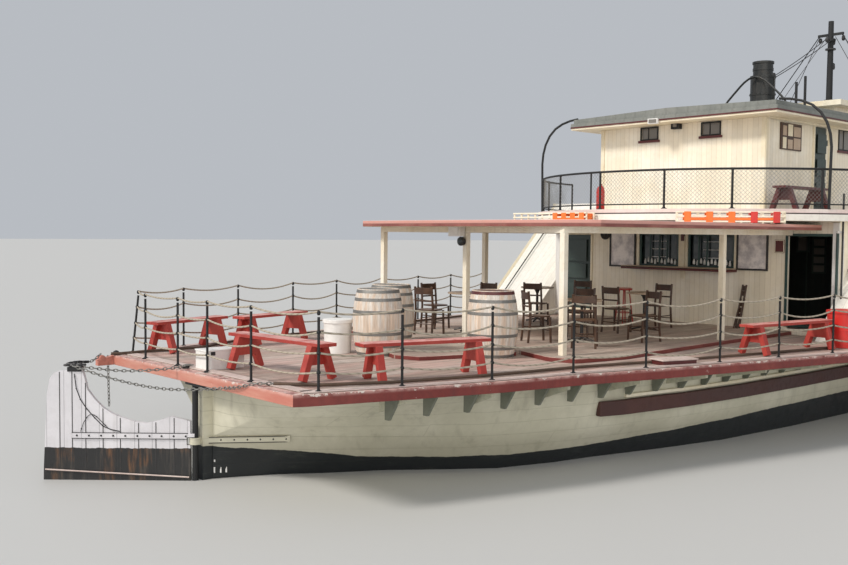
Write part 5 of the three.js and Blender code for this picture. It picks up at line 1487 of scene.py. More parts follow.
@dataclass
class Barrels:
    """Oak barrels with bulging staves, chimed rims and iron hoops, and the locker and bins near them."""

    places: tuple = (("barrel_aft", 3.09, -0.06), ("barrel_port", 4.15, 0.885),
            ("barrel_starboard", 4.33, -1.36))
    high: float = 1.04
    end_radius: float = 0.324
    bilge: float = 0.398
    staves: int = 24
    hoops: tuple = (0.035, 0.16, 0.35, 0.69, 0.88, 1.005)

    def radius(self, h: Array) -> Array:
        """End radius plus the bulge: bilge - (bilge - end) x (2 h / high - 1) squared."""
        t = 2 * np.asarray(h) / self.high - 1
        return self.bilge - (self.bilge - self.end_radius) * t * t

    def build(self) -> None:
        """Staves: the radius dips by 4 mm at each seam between staves, over a grid of angle and height."""
        a = np.linspace(0, 2 * np.pi, self.staves * 6, endpoint=False)
        seam = np.abs(np.mod(a * self.staves / (2 * np.pi), 1) - 0.5) * 2
        dip = 0.004 * np.clip((seam - 0.8) / 0.2, 0, 1) ** 2
        h = np.linspace(0, self.high, 25)
        body = self.radius(h)[:, None] - dip
        rings = [body[0] - 0.02, *body, body[-1] - 0.022, body[-1] - 0.024, np.full_like(a, 0.01)]
        heights = [0.0, *h, self.high, self.high - 0.035, self.high - 0.035]
        grid_points = np.stack([np.stack((r * np.cos(a), r * np.sin(a), np.full_like(a, z)), -1)
                for r, z in zip(rings, heights)])
        for name, s, y in self.places:
            piece = Piece(f"{name}_fine", "oak", [OAK, GREY_IRON, DARK_MAROON])
            piece.add(grid(grid_points[None] + at(s, y, DECK)))
            for k, z in enumerate(self.hoops):
                low, high = z - 0.024, z + 0.024
                profile = np.array([(self.radius(low) - 0.004, low), (self.radius(low) + 0.003, low),
                        (self.radius(high) + 0.003, high), (self.radius(high) - 0.004, high)])
                rim = 2 if name == "barrel_starboard" and k == 5 else 1
                piece.add(lathe(profile, [at(s, y, DECK)], 48), rim)
                piece.add(rivets([at(s - self.radius(z) - 0.002, y, DECK + z)], (-1, 0, 0), 0.01), rim)
            piece.make(name, smooth=50)

    def dress(self) -> None:
        """Locker with lid and battens, the two bins, and the step at the deck's edge."""
        locker = Piece("deck_box_fine", "white_paint", [WHITE, BLACK])
        low, high, mid, size = reach_of("deck_box")
        locker.box(mid - (0, 0, 0.012), size - (0.02, 0.02, 0.024))
        locker.box((mid[0], mid[1], high[2] - 0.012), (size[0], size[1], 0.024))
        locker.box([(low[0] + 0.1, mid[1], mid[2] - 0.02), (high[0] - 0.1, mid[1], mid[2] - 0.02)],
                (0.05, size[1] - 0.004, size[2] - 0.06))
        clasps = [(mid[0] + off, low[1] + 0.004, high[2] - 0.05) for off in (-0.2, 0.2)]
        locker.box(clasps, (0.07, 0.01, 0.05), 1)
        locker.make("deck_box", bevel=0.005)
        refined("white_bin", "white_paint", WHITE, bevel=0.012)
        refined("red_bin", "red_paint", BRIGHT_RED, bevel=0.012)
        low, _, mid, _ = reach_of("red_bin")
        lid = Piece("red_bin_rim", "red_paint", [BRIGHT_RED])
        middle = (mid[0], mid[1], low[2])
        lid.add(lathe([(0.20, 0.6), (0.272, 0.6), (0.276, 0.62), (0.27, 0.645), (0.12, 0.665),
                (0.01, 0.67)], [middle], 32))
        lid.add(lathe([(0.225, 0.3), (0.248, 0.3), (0.248, 0.32), (0.225, 0.32)], [middle], 32))
        lid.make(smooth=45)
        step = Piece("edge_step", "red_paint", [MARGIN, DARK_MAROON])
        step.box(at(5.84, -3.66, 1.578), (0.66, 0.32, 0.02), turns=yaw(-0.3))
        step.box(at(5.84, -3.66, 1.535), (0.62, 0.28, 0.065), 1, yaw(-0.3))
        step.make(bevel=0.005)


@dataclass
class Platform:
    """Raised platform under the awning with its tables and bentwood chairs."""

    top: float = 1.565
    outline: tuple = ((4.85, 1.5), (4.56, 2.3), (4.7, 2.75), (5.7, 2.9), (9.0, 2.68), (11.49, 2.56))
    tongue: tuple = ((4.84, 1.3), (3.7, 1.25), (2.96, -0.62), (3.1, -1.05), (4.72, -1.5))
    chairs: tuple = ((5.45, 1.33, 15), (6.35, 2.15, -90), (7.25, 1.75, 190), (6.05, -0.76, -30),
            (7.3, -0.7, 200), (6.05, -1.8, 35), (7.6, -1.85, 165), (8.55, -0.56, 0), (8.4, 1.35, 20),
            (9.65, 1.25, 200), (9.95, -0.5, 180))
    tables: tuple = ((6.4, 1.35), (6.65, -1.25), (9.3, -0.65), (9.05, 1.9))
    table_high: float = 0.74

    def chair(self) -> tuple[Shape, Shape]:
        """One chair about its own foot: legs and back posts as bent bars, seat and back rail as curved
        plates.

        Returns:
            The bars, and the seat with its back rails.
        """
        t = np.linspace(0, 1, 5)
        bars = []
        for side in (-1, 1):
            z = 0.88 * t
            back = np.stack((-0.17 - 0.10 * np.maximum(t - 0.5, 0) - 0.05 * (1 - t) ** 2,
                    side * (0.19 - 0.01 * t), z), -1)
            fore = np.stack((0.185 - 0.015 * t, side * (0.19 - 0.005 * t), 0.44 * t), -1)
            bars += [back, fore]
        legs = tubes(np.stack(bars), 0.022, 6)
        rungs = spans([(-0.19, -0.18, 0.2), (0.18, -0.18, 0.2), (-0.19, 0.18, 0.25), (-0.19, -0.19, 0.25)],
                [(-0.19, 0.18, 0.2), (0.18, 0.18, 0.2), (0.18, 0.18, 0.25), (0.18, -0.19, 0.25)], 0.011,
                sides=6)
        a = np.linspace(0, 2 * np.pi, 20, endpoint=False)
        seat = np.stack((0.205 * np.sign(np.cos(a)) * np.abs(np.cos(a)) ** 0.6,
                0.205 * np.sign(np.sin(a)) * np.abs(np.sin(a)) ** 0.6), -1)
        plate = prism(seat, 0.437, 0.462)
        u = np.linspace(-0.19, 0.19, 7)
        rails = []
        for z, tall in ((0.80, 0.12), (0.62, 0.03)):
            bow = np.stack((-0.20 - (0.05 if z > 0.7 else 0.02) + 0.5 * u ** 2, u, np.full(7, z)), -1)
            low, high, deep = (0, 0, -tall / 2), (0, 0, tall / 2), (0.016, 0, 0)
            rails.append(grid(np.stack((bow + low, bow + low + deep, bow + high + deep,
                    bow + high), 1)[None]))
        return self.merge(legs, rungs), self.merge(plate, *rails)

    @staticmethod
    def merge(*shapes: Shape) -> Shape:
        """Several shapes as one."""
        points, faces, count = [], [], 0
        for p, f in shapes:
            points.append(p)
            faces += [block + count for block in f]
            count += len(p)
        return np.concatenate(points), faces

    def build(self) -> None:
        """Boards over a maroon edge, then the furniture on them."""
        piece = Piece("platform_fine", "deck_planks", [PLATFORM_BOARDS, MAROON, CHAIR_WOOD, TABLE_TOP, BLACK])
        half = np.array(self.outline)
        ring = np.concatenate((half, half[::-1] * (1, -1))) + (STERN, 0)
        inner = np.concatenate((half + (0.03, -0.03), (half[::-1] + (0.03, -0.03)) * (1, -1))) + (STERN, 0)
        piece.add(prism(inner, DECK + 0.001, self.top))
        rim = np.column_stack((ring + (0.012, 0), np.full(len(ring), DECK + 0.001)))
        piece.add(band(along(rim, 0.1) * (1, 0.996, 1), 0.024, self.top - DECK - 0.003), 1)
        tongue = np.array(self.tongue) + (STERN, 0)
        piece.add(prism(tongue, DECK + 0.001, self.top - 0.004))
        rim = np.column_stack((tongue, np.full(len(tongue), DECK + 0.001)))
        piece.add(band(along(rim, 0.1), 0.024, self.top - DECK - 0.008), 1)
        bars, seats = self.chair()
        places = np.array([at(s, y, self.top) for s, y, _ in self.chairs])
        turns = yaw(np.radians([h for _, _, h in self.chairs]))
        piece.add(copies(bars, places, turns), 2).add(copies(seats, places, turns), 2)
        feet = np.array([at(s, y, self.top) for s, y in self.tables])
        piece.add(lathe([(0.30, self.table_high - 0.032), (0.345, self.table_high - 0.028),
                (0.35, self.table_high - 0.012), (0.345, self.table_high)], feet, 40), 3)
        piece.add(lathe([(0.035, 0.05), (0.028, 0.1), (0.026, 0.6), (0.05, 0.66),
                (0.09, self.table_high - 0.034)], feet, 14), 4)
        arms = circle(4, 0.24, 0.02, 0.4)
        for foot in feet:
            piece.add(spans(np.tile(foot + (0, 0, 0.075), (4, 1)), foot + arms, 0.02, sides=6), 4)
        piece.make("platform", bevel=0.003, smooth=40)

    def dress(self) -> None:
        """A folded chair leaning on the wall and a stool by the counter."""
        lean = Piece("folded_chair", "varnished_wood", [CHAIR_WOOD])
        foot, head = at(11.20, -1.585, self.top), at(11.36, -1.635, self.top + 0.87)
        side = np.array((0.02, 0.09, 0.0))
        lean.add(spans([foot, foot + side], [head, head + side], 0.02, sides=8))
        back, drop = np.array((0.08, 0, 0)), np.array((0.06, 0, 0.28))
        lean.add(spans([foot - back, foot + side - back], [head - drop, head + side - drop], 0.016, sides=8))
        for share in (0.28, 0.42, 0.56, 0.8, 0.92):
            centre = foot + (head - foot) * share + side / 2
            lean.box(centre, (0.02, 0.09, 0.10), turns=yaw(math.atan2(-side[0], side[1])))
        lean.make(bevel=0.003)
        stool = Piece("counter_stool", "red_paint", [RED])
        place = at(10.2, 0.5, self.top)
        legs = circle(4, start=0.5)
        stool.add(spans(place + legs * 0.19 + (0, 0, 0.001),
                place + legs * 0.1 + (0, 0, 0.7), 0.014, sides=8))
        stool.add(tubes(place + circle(16, 0.155, 0.2325), 0.009, 6, closed=True))
        stool.add(lathe([(0.15, 0.7), (0.165, 0.71), (0.165, 0.735), (0.14, 0.75), (0.01, 0.752)], [place],
                24))
        stool.make(smooth=45)


@dataclass
class Awning:
    """Posts, beams and flat roof over the after deck, the lamp on its post and the float racks on top."""

    racks: tuple = (("starboard", 9.36, -2.42, 53, 5), ("port", 8.74, 1.23, 88, 4))
    rack_size: tuple = (1.9, 0.30)
    roof_top: float = 3.64

    def build(self) -> None:
        """Frame, roof and racks."""
        refined("awning_frame", "cream_paint", POST, bevel=0.008)

        def parts(centres: Array, normals: Array) -> Array:
            """Top boards, edge and underside each have their own paint."""
            return np.where(normals[:, 2] > 0.5, 0, np.where(normals[:, 2] < -0.5, 2, 1))

        # painted light: the salmon rim of the awning's edge is partly painted sunlight, and the dark maroon
        # board below it partly painted shadow under the rim
        sunlit_and_shaded_edging = BandedEdge("awning_edge_sunlit_and_shaded", (0.66, 0.33, 0.28), (0.20, 0.050, 0.040), (0.55, 0.30, 0.26),
                (0.55, 0.24, 0.19), self.roof_top - 0.055, 0.2)
        refined("awning_roof", "maroon_paint", SLAB, sunlit_and_shaded_edging, TRIM, bevel=0.010, choose=parts)
        for name, s, y, heading, blocks_shown in self.racks:
            self.rack(name, at(s, y, self.roof_top), -math.radians(heading), blocks_shown)

    def rack(self, name: str, place: Array, heading: float, shown: int) -> None:
        """A ladder-like frame of slats round orange float blocks.

        Args:
            name: Side of the rack.
            place: Middle of its underside.
            heading: Turn of its length from the fore-and-aft line, in radians.
            shown: Number of float blocks in it.
        """
        turn = yaw(heading)[0]
        piece = Piece(f"{name}_float_rack_fine", "orange_paint", [POST, ORANGE, BRIGHT_RED])
        length, wide = self.rack_size

        def put(points: Array) -> Array:
            """Points of the rack's own frame, in the steamer's."""
            return place + np.atleast_2d(points) @ turn.T

        for z in (0.035, 0.125, 0.205):
            piece.box(put([(0, -wide / 2 + 0.012, z), (0, wide / 2 - 0.012, z)]),
                    (length - 0.01, 0.022, 0.028), turns=turn)
        ends = np.linspace(-length / 2 + 0.02, length / 2 - 0.02, 11)
        uprights = np.array([(x, side * (wide / 2 - 0.034), 0.112) for x in ends for side in (-1, 1)])
        piece.box(put(uprights), (0.035, 0.018, 0.205), turns=turn)
        piece.box(put(np.stack((ends, 0 * ends, 0 * ends + 0.012), -1)),
                (0.035, wide - 0.03, 0.02), turns=turn)
        first, step = (0.2, 0.385) if shown == 5 else (1.12, 0.22)
        floats = np.array([(first - length / 2 + step * k, 0, 0.112) for k in range(shown)])
        for k, spot in enumerate(floats):
            tabs = [spot + (0, side * (wide / 2 - 0.003), 0) for side in (-1, 1)]
            finish = 2 if k > 2 and shown == 5 else 1
            piece.box(put(spot), (0.14, wide - 0.09, 0.17), finish, turn)
            piece.box(put(tabs), (0.12, 0.014, 0.20), finish, turn)
        bars = [((floats[0, 0] + floats[-1, 0]) / 2, side * (wide / 2 - 0.01), 0.08) for side in (-1, 1)]
        piece.box(put(bars), (floats[-1, 0] - floats[0, 0], 0.02, 0.045), 1, turn)
        piece.make(f"{name}_float_rack", bevel=0.004)

    def dress(self) -> None:
        """White lamp box and the round lamp on the second post, and the white pipe on the house."""
        lamp = Piece("awning_lamp", "white_paint", [WHITE, BLACK, GLASS])
        post = at(5.43, 0.36, 0)
        lamp.box(post + (-0.13, 0.12, 3.46), (0.14, 0.28, 0.19))
        lamp.box(post + (-0.21, 0.12, 3.46), (0.02, 0.24, 0.15))
        face = axes((0, 0, 1), (-1, 0, 0))
        lamp.add(lathe([(0.05, -0.02), (0.075, 0.0), (0.08, 0.06), (0.07, 0.08)],
                [post + (-0.07, 0.02, 3.28)], 24, face), 1)
        lamp.add(lathe([(0.066, 0.078), (0.05, 0.092), (0.01, 0.098)],
                [post + (-0.07, 0.02, 3.28)], 24, face), 2)
        lamp.make(bevel=0.006, smooth=45)
        line = Piece("house_pipe", "white_paint", [WHITE])
        pipe = np.array((at(11.3, -3.5, 3.50), at(11.46, -3.52, 3.50), at(11.47, -3.53, 3.3),
                at(11.47, -3.53, 1.53)))
        line.add(tubes(along(pipe, 0.05), 0.022, 8))
        line.make(smooth=45)


@dataclass
class DoorLeaf:
    """Raised panels, panes and a knob on both faces of a hinged door.

    A panel is (offset from the middle line, height, width, tallness, thickness, finish). A height below 0 is
    counted down from the head, and a width below 0 is taken off the leaf's own. The knob's finish is the
    last.
    """

    name: str
    finishes: list[Finish]
    panels: tuple
    knob: tuple
    knob_place: tuple[float, float]
    proud: tuple[float, float] = (0.003, 0.003)
    knob_faces: tuple = (-1, 1)
    knob_sides: int = 12
    bevel: float = 0.003

    def dress(self) -> None:
        """Adds the panels and knobs; the leaf lies along X or Y, whichever its box is longer in."""
        low, high, mid, size = reach_of(self.name)
        flat = 0 if size[0] < size[1] else 1
        other = 1 - flat
        leaf = Piece(f"{self.name}_panels", "green_paint", self.finishes, self.name)
        for way, proud in zip((-1, 1), self.proud):
            for across, up, wide, tall, thick, finish in self.panels:
                box, spot = np.zeros(3), mid.copy()
                box[flat], box[other], box[2] = thick, wide if wide > 0 else size[other] + wide, tall
                spot[flat], spot[2] = mid[flat] + way * (size[flat] / 2 + proud), (low if up > 0
                        else high)[2] + up
                spot[other] += across
                leaf.box(spot, box, finish)
            if way not in self.knob_faces:
                continue
            across, up = self.knob_place
            spot, normal = mid.copy(), np.zeros(3)
            spot[flat], spot[2] = mid[flat] + way * (size[flat] / 2), low[2] + up
            spot[other] = (low if across > 0 else high)[other] + across
            normal[flat] = way
            leaf.add(lathe(self.knob, [spot], self.knob_sides, axes((0, 0, 1), normal)),
                    len(self.finishes) - 1)
        leaf.make(bevel=self.bevel, smooth=45)


@dataclass
class Deckhouse:
    """Lower house: walls, doors, serveries and everything on the after wall."""

    bulkhead: float = -2.885
    panes: tuple = ((-1.41, 3.30, 0.22, 0.38), (-1.78, 3.29, 0.24, 0.14), (-1.78, 3.10, 0.24, 0.14),
            (-1.78, 2.91, 0.24, 0.14), (-1.78, 2.72, 0.24, 0.14))
    wall_x: float = -5.5
    serveries: tuple = ((0.05, 1.07, (0.36, 0.56, 0.80)), (-1.27, -0.17, (-0.42, -0.62, -0.98)))
    servery_z: tuple = (2.75, 3.47)
    shelves_z: tuple = (2.95, 3.12, 3.29)
    jar_pitch: float = 0.085
    sheets: tuple = ((1.20, 1.84, 2.74, 3.52), (-1.98, -1.36, 2.76, 3.60))
    doorway: tuple = (2.43, 3.33)
    doorway_z: tuple = (1.7, 3.42)
    coil_middle: tuple = (-5.1, -3.475, 2.52)
    coil_turns: float = 6.5
    saloon_doors: tuple = ("port_saloon_door", "starboard_saloon_door")
    knob: tuple = ((0.012, 0), (0.012, 0.03), (0.026, 0.04), (0.026, 0.055), (0.01, 0.065))

    def frame_round(self, piece: Piece, y0: float, y1: float, z0: float, z1: float, x: float, wide: float,
            thick: float, finish: int) -> None:
        """Four boards round a rectangle on a wall that faces aft.

        Args:
            piece: The piece that takes them.
            y0: Lower Y of the rectangle.
            y1: Higher Y.
            z0: Sill.
            z1: Head.
            x: Middle of the boards' thickness.
            wide: Width of the boards.
            thick: Their thickness.
            finish: Their finish number.
        """
        ym, zm = (y0 + y1) / 2, (z0 + z1) / 2
        piece.box([(x, ym, z0 - wide / 2), (x, ym, z1 + wide / 2)], (thick, y1 - y0 + 2 * wide, wide), finish)
        piece.box([(x, y0 - wide / 2, zm), (x, y1 + wide / 2, zm)], (thick, wide, z1 - z0 - 0.002), finish)

    def build(self) -> None:
        """Walls and doors."""
        refined("deckhouse", "cream_paint", WALL, DARK_MAROON, bevel=0.006,
                choose=lambda c, n: ((c[:, 0] < self.wall_x - 0.005) & (c[:, 2] < 2.8)
                & (c[:, 2] > 2.6)).astype(int))
        for name in self.saloon_doors:
            refined(name, "green_paint", GREEN, bevel=0.005)

    def dress(self) -> None:
        """Two serveries with shelves and jars, blank sheets, boards and pipes on the wall, and the
        bulkhead."""
        x = self.wall_x
        piece = Piece("house_after_fittings", "cream_paint",
                [TRIM, TEAL, BLACK, SHEET, GLASS, DARK_MAROON, TABLE_TOP, WHITE])
        z0, z1 = self.servery_z
        for y0, y1, mullions in self.serveries:
            self.frame_round(piece, y0, y1, z0, z1, x - 0.012, 0.055, 0.03, 0)
            self.frame_round(piece, y0 + 0.045, y1 - 0.045, z0 + 0.04, z1 - 0.045, x + 0.02, 0.045, 0.04, 1)
            for y in mullions:
                piece.box((x + 0.02, y, (z0 + z1) / 2), (0.03, 0.03, z1 - z0 - 0.08), 1)
            for z in self.shelves_z:
                piece.box((x + 0.07, (mullions[0] + mullions[2]) / 2, z), (0.014, 0.40, 0.012), 7)
            # painted shade: a dark glass sheet at the back of each servery stands for the shade inside it
            piece.box((x + 0.075, (y0 + y1) / 2, (z0 + z1) / 2), (0.006, (y1 - y0) - 0.1, z1 - z0 - 0.09), 4)
            row = enumerate(np.arange(y0 + 0.12, y1 - 0.1, self.jar_pitch))
            jars = np.array([(x + 0.035, y, z0 + 0.04 + 0.02 * (k % 3)) for k, y in row])
            piece.add(lathe([(0.02, 0.0), (0.026, 0.01), (0.024, 0.07), (0.012, 0.09), (0.012, 0.11)], jars,
                    10), 7)
        piece.box((x - 0.175, 0.0, 2.745), (0.33, 2.64, 0.018), 6)
        for y0, y1, z0, z1 in self.sheets:
            self.frame_round(piece, y0, y1, z0, z1, x - 0.018, 0.035, 0.036, 2)
            piece.box((x - 0.010, (y0 + y1) / 2, (z0 + z1) / 2), (0.012, y1 - y0, z1 - z0), 3)
        piece.box((x - 0.012, -2.255, 3.22), (0.02, 0.20, 0.26), 5)
        self.frame_round(piece, -2.34, -2.17, 3.11, 3.33, x - 0.024, 0.014, 0.012, 0)
        face = axes((0, 0, 1), (-1, 0, 0))
        piece.add(lathe([(0.11, 0.0), (0.125, 0.02), (0.125, 0.055), (0.10, 0.075), (0.09, 0.06),
                (0.04, 0.045), (0.03, 0.06), (0.004, 0.065)], [(x, 2.0, 3.437)], 32, face), 2)
        piece.box((x - 0.03, -0.056, 3.42), (0.05, 0.07, 0.24), 5)
        piece.box((x - 0.02, -0.056, 2.95), (0.03, 0.10, 0.9), 0)
        piece.box([(x - 0.02, 3.40, 2.6), (x - 0.02, -3.40, 2.6)], (0.05, 0.12, 2.16), 7)
        piece.add(spans([(x - 0.06, -3.44, 1.52)], [(x - 0.06, -3.44, 3.52)], 0.026, sides=10), 1)
        for side in (-1, 1):
            y0, y1 = sorted(side * y for y in self.doorway)
            self.frame_round(piece, y0, y1, *self.doorway_z, x - 0.01, 0.05, 0.022, 0 if side > 0 else 1)
        piece.add(spans([at(11.39, -3.56, DECK)], [at(11.39, -3.56, UPPER + 0.30)], 0.02, sides=8), 2)
        piece.make(bevel=0.003)
        inside = Piece("saloon_bulkhead", "green_paint", [GREEN, PANE, DARK_GREEN])
        inside.box((self.bulkhead, 0.0, 2.61), (0.03, 6.88, 2.16), 2)
        for y, z, wide, high in self.panes:
            inside.box((self.bulkhead - 0.02, y, z), (0.012, wide, high), 1)
            self.frame_round(inside, y - wide / 2, y + wide / 2, z - high / 2, z + high / 2,
                    self.bulkhead - 0.022, 0.04, 0.02, 0)
        for y in np.arange(-3.3, 3.31, 0.6):
            inside.box((self.bulkhead - 0.02, y, 2.6), (0.012, 0.03, 2.1))
        inside.make(bevel=0.002)
        self.doors()
        self.hose()
        self.fore_windows()

    def doors(self) -> None:
        """Panels, panes and knobs on the two saloon doors; the port one is flush where it folds against the
        wall."""
        low_panels = ((0, 0.50, -0.22, 0.40, 0.010, 0), (0, 0.98, -0.22, 0.34, 0.010, 0))
        panes = tuple((0.15 * col, -0.2 - 0.19 * row, 0.2, 0.15, 0.008, 1) for row in range(3)
                for col in (-1, 1))
        finishes = [GREEN, GLASS, GREY_IRON]
        port, starboard = self.saloon_doors
        DoorLeaf(port, finishes, low_panels + ((0, -0.36, -0.2, 0.5, 0.010, 0),), self.knob, (0.07, 0.95),
                proud=(-0.003, 0.003), knob_faces=(1,), knob_sides=14).dress()
        DoorLeaf(starboard, finishes, low_panels + panes, self.knob, (-0.07, 0.95), knob_sides=14).dress()

    def hose(self) -> None:
        """A white hose wound on a hook on the starboard wall."""
        x, y, z = self.coil_middle
        a = np.linspace(0, 2 * np.pi * self.coil_turns, 160)
        r = 0.15 + 0.02 * np.sin(a * 0.37) + 0.012 * np.cos(a * 1.7)
        path = np.stack((x + r * np.cos(a), y - 0.05 - 0.03 * np.abs(np.sin(a * 0.31)),
                z + 1.55 * r * np.sin(a)), -1)
        coil = Piece("hose_coil", "white_paint", [HOSE, BLACK])
        coil.add(tubes(path, 0.013, 8))
        coil.box((-5.1, -3.47, 2.78), (0.06, 0.04, 0.05), 1)
        coil.add(tubes(np.array(((-5.1, -3.45, 2.77), (-5.1, -3.57, 2.75), (-5.1, -3.6, 2.82))), 0.012, 8), 1)
        coil.make(smooth=60)

    def fore_windows(self) -> None:
        """Frames, bars and glass in the two fore windows, and boards round the fore doorways."""
        piece = Piece("house_fore_fittings", "cream_paint", [TRIM, TEAL, GLASS])
        for side in (-1, 1):
            y0, y1 = sorted((side * 0.6, side * 1.7))
            self.frame_round(piece, y0, y1, 2.6, 3.35, 0.512, 0.07, 0.03, 0)
            self.frame_round(piece, y0 + 0.045, y1 - 0.045, 2.645, 3.305, 0.47, 0.045, 0.04, 1)
            piece.box((0.47, (y0 + y1) / 2, 2.975), (0.03, 0.03, 0.66), 1)
            piece.box((0.46, (y0 + y1) / 2, 2.975), (0.008, 1.02, 0.67), 2)
            y0, y1 = sorted(side * y for y in self.doorway)
            self.frame_round(piece, y0, y1, *self.doorway_z, 0.51, 0.05, 0.022, 0)
        piece.make(bevel=0.003)


@dataclass
class Paddles:
    """Paddle boxes, wheels, shaft, boiler and engine."""

    middle: float = -2.6
    fan: tuple = (0.42, 1.75)
    rims: tuple = (0.38, 1.80)
    fan_z: float = 1.66

    def build(self) -> None:
        """Boxes, wheels and machinery in their finishes."""
        for side in ("port", "starboard"):
            refined(f"{side}_paddle_box", "cream_paint", BOX_SIDE, bevel=0.012)
            refined(f"{side}_paddle_wheel", "red_paint", RED_DARK, bevel=0.006)
        refined("paddle_shaft", "machinery", MACHINE, bevel=0.004)
        refined("boiler", "machinery", MACHINE, bevel=0.006)
        refined("engine", "machinery", MACHINE, bevel=0.02)

    def arc(self, angles: Array, radius: float, y: float) -> Array:
        """Points on an upright circle about the fan's middle: x + r cos a, y, z + r sin a."""
        return np.stack((self.middle + radius * np.cos(angles), np.full(len(angles), y),
                self.fan_z + radius * np.sin(angles)), -1)

    def dress(self) -> None:
        """Fan of louvres and corner strips on each box, the strut over the port one, boiler bands,
        cylinders."""
        trims = Piece("paddle_box_trims", "cream_paint", [TRIM, MAROON, IRON])
        for side in (-1, 1):
            y = side * (5.139 + 0.012)
            angles = np.radians(np.arange(20, 161, 10))
            inner, outer = (self.arc(angles, r, y) for r in self.fan)
            trims.add(tubes(np.stack((inner, outer), 1), np.array((0.02, 0.055)), 6), 1)
            rim = np.linspace(np.radians(12), np.radians(168), 40)
            for r in self.rims:
                trims.add(tubes(self.arc(rim, r, y), 0.032, 6), 1)
            for way in (-1, 1):
                foot = (self.middle + way * 3.74, side * 5.09, 1.56)
                head = (self.middle + way * 1.08, side * 5.09, 4.19)
                trims.add(tubes(np.array((foot, head)), 0.045, 4), 0)
            trims.box((self.middle, side * 5.12, 4.205), (2.2, 0.06, 0.05), 0)
        strut = np.array(((-6.02, 4.75, 1.95), (-3.92, 4.75, 4.05)))
        trims.add(tubes(strut, 0.014, 8), 2)
        trims.make(smooth=45)
        bands = Piece("boiler_bands", "machinery", [GREY_IRON, MACHINE])
        for x in np.linspace(-2.6, 0.1, 6):
            bands.add(tubes(circle(32, 0.612)[:, [2, 0, 1]] + (x, 0, 2.75), 0.018, 6, closed=True))
        bands.add(lathe([(0.30, 0), (0.30, 0.03), (0.24, 0.05), (0.01, 0.06)], [(0.301, 0, 2.7)], 32,
                axes((0, 0, 1), (1, 0, 0))), 1)
        cylinder = [(0.01, 0), (0.24, 0), (0.26, 0.03), (0.26, 0.1), (0.22, 0.12), (0.22, 0.9), (0.26, 0.92),
                (0.26, 1.0), (0.01, 1.01)]
        bands.add(lathe(cylinder, [(-1.9, 1.3, 2.72), (-1.9, 1.75, 2.72)], 28, axes((0, 0, 1), (1, 0, 0))), 1)
        bands.make(smooth=40)


@dataclass
class UpperDeck:
    """Upper deck with its pipe rails and the wire mesh stretched in them."""

    radius: float = 3.94
    middle: float = 13.0
    high: float = 0.74
    foot: float = 0.09
    wire: float = 0.0028
    pitch: float = 0.078
    arc: float = 84.0
    bearings: tuple = (-84, -64, -44, -24, -4.3, 16.3, 34.4, 58.5, 82)
    fore: tuple = ((16.35, 3.94), (18.75, 3.94), (19.3, 3.3), (19.3, 0.0), (19.3, -3.3),
            (18.75, -3.94), (16.35, -3.94))

    def build(self) -> None:
        """Slab with its banded edge: pale rim, dark joint, white board."""
        bands = BandedEdge()
        refined("upper_deck", "cream_paint", bands, POST, bevel=0.008,
                choose=lambda c, n: ((c[:, 2] < 3.69) & (np.abs(n[:, 2]) < 0.9)).astype(int))
        refined("port_hoop", "black_iron", IRON, bevel=0.0, smooth=50)
        refined("starboard_hoop", "black_iron", IRON, bevel=0.0, smooth=50)

    def rail(self, name: str, path: Array, posts: Array) -> None:
        """One rail: top pipe, foot bar, posts with collars, and wires slanting both ways along the path.

        Args:
            name: CAD node that it stands for.
            path: Line of the rail in plan, on the deck.
            posts: Foot of each post.
        """
        piece = Piece(f"{name}_fine", "black_iron", [IRON, WIRE])
        line = along(path, 0.12)
        piece.add(tubes(line + (0, 0, self.high), 0.021, 8))
        piece.add(tubes(line + (0, 0, self.foot), 0.014, 6))
        piece.add(spans(posts, posts + (0, 0, self.high + 0.02), 0.022, sides=10))
        piece.add(lathe([(0.055, 0), (0.055, 0.012), (0.03, 0.02), (0.024, 0.04)], posts, 12))
        run = np.concatenate(([0], np.cumsum(np.linalg.norm(np.diff(line, axis=0), axis=1))))
        tall = self.high - self.foot
        starts = np.arange(-tall, run[-1], self.pitch)
        t = np.linspace(0, 1, 5)
        for way in (1, -1):
            s = starts[:, None] + (t if way > 0 else 1 - t)[None] * tall
            keep = (s.min(1) >= 0) & (s.max(1) <= run[-1])
            s = s[keep]
            wires = np.stack([np.interp(s, run, line[:, k]) for k in range(3)], -1)
            wires[..., 2] += self.foot + t * tall
            piece.add(tubes(wires, self.wire, 3), 1)
        piece.make(name, smooth=60)

    def dress(self) -> None:
        """After rail round the arc, fore rail, and small things on the deck."""
        a = np.radians(180 + np.linspace(-self.arc, self.arc, 60))
        x = self.middle + STERN
        arc = np.stack((x + self.radius * np.cos(a), self.radius * np.sin(a), np.full(60, UPPER)), -1)
        b = np.radians(180 + np.array(self.bearings))
        feet = np.stack((x + self.radius * np.cos(b), self.radius * np.sin(b), np.full(len(b), UPPER)), -1)
        self.rail("upper_aft_rail", arc, feet)
        lone = np.radians(172)
        post = np.array([(x + self.radius * math.cos(lone), self.radius * math.sin(lone), UPPER)])
        extra_post = Piece("upper_rail_post", "black_iron", [IRON])
        extra_post.add(spans(post, post + (0, 0, self.high), 0.018, sides=10)).make(smooth=60)
        fore = np.array([at(s, y, UPPER) for s, y in self.fore])
        self.rail("upper_fore_rail", fore, along(fore, 1.6))
        extra = Piece("upper_deck_fittings", "red_paint", [BRIGHT_RED, BLACK])
        box = np.array((x - 3.5, 0.62, UPPER))
        extra.add(lathe([(0.01, 0), (0.075, 0), (0.085, 0.02), (0.085, 0.40), (0.06, 0.47), (0.03, 0.49),
                (0.03, 0.53), (0.01, 0.53)], [box], 20))
        extra.add(tubes(box + np.array(((0.03, 0, 0.5), (0.12, 0.02, 0.46), (0.14, 0.03, 0.3))), 0.012, 6), 1)
        extra.make(smooth=45)


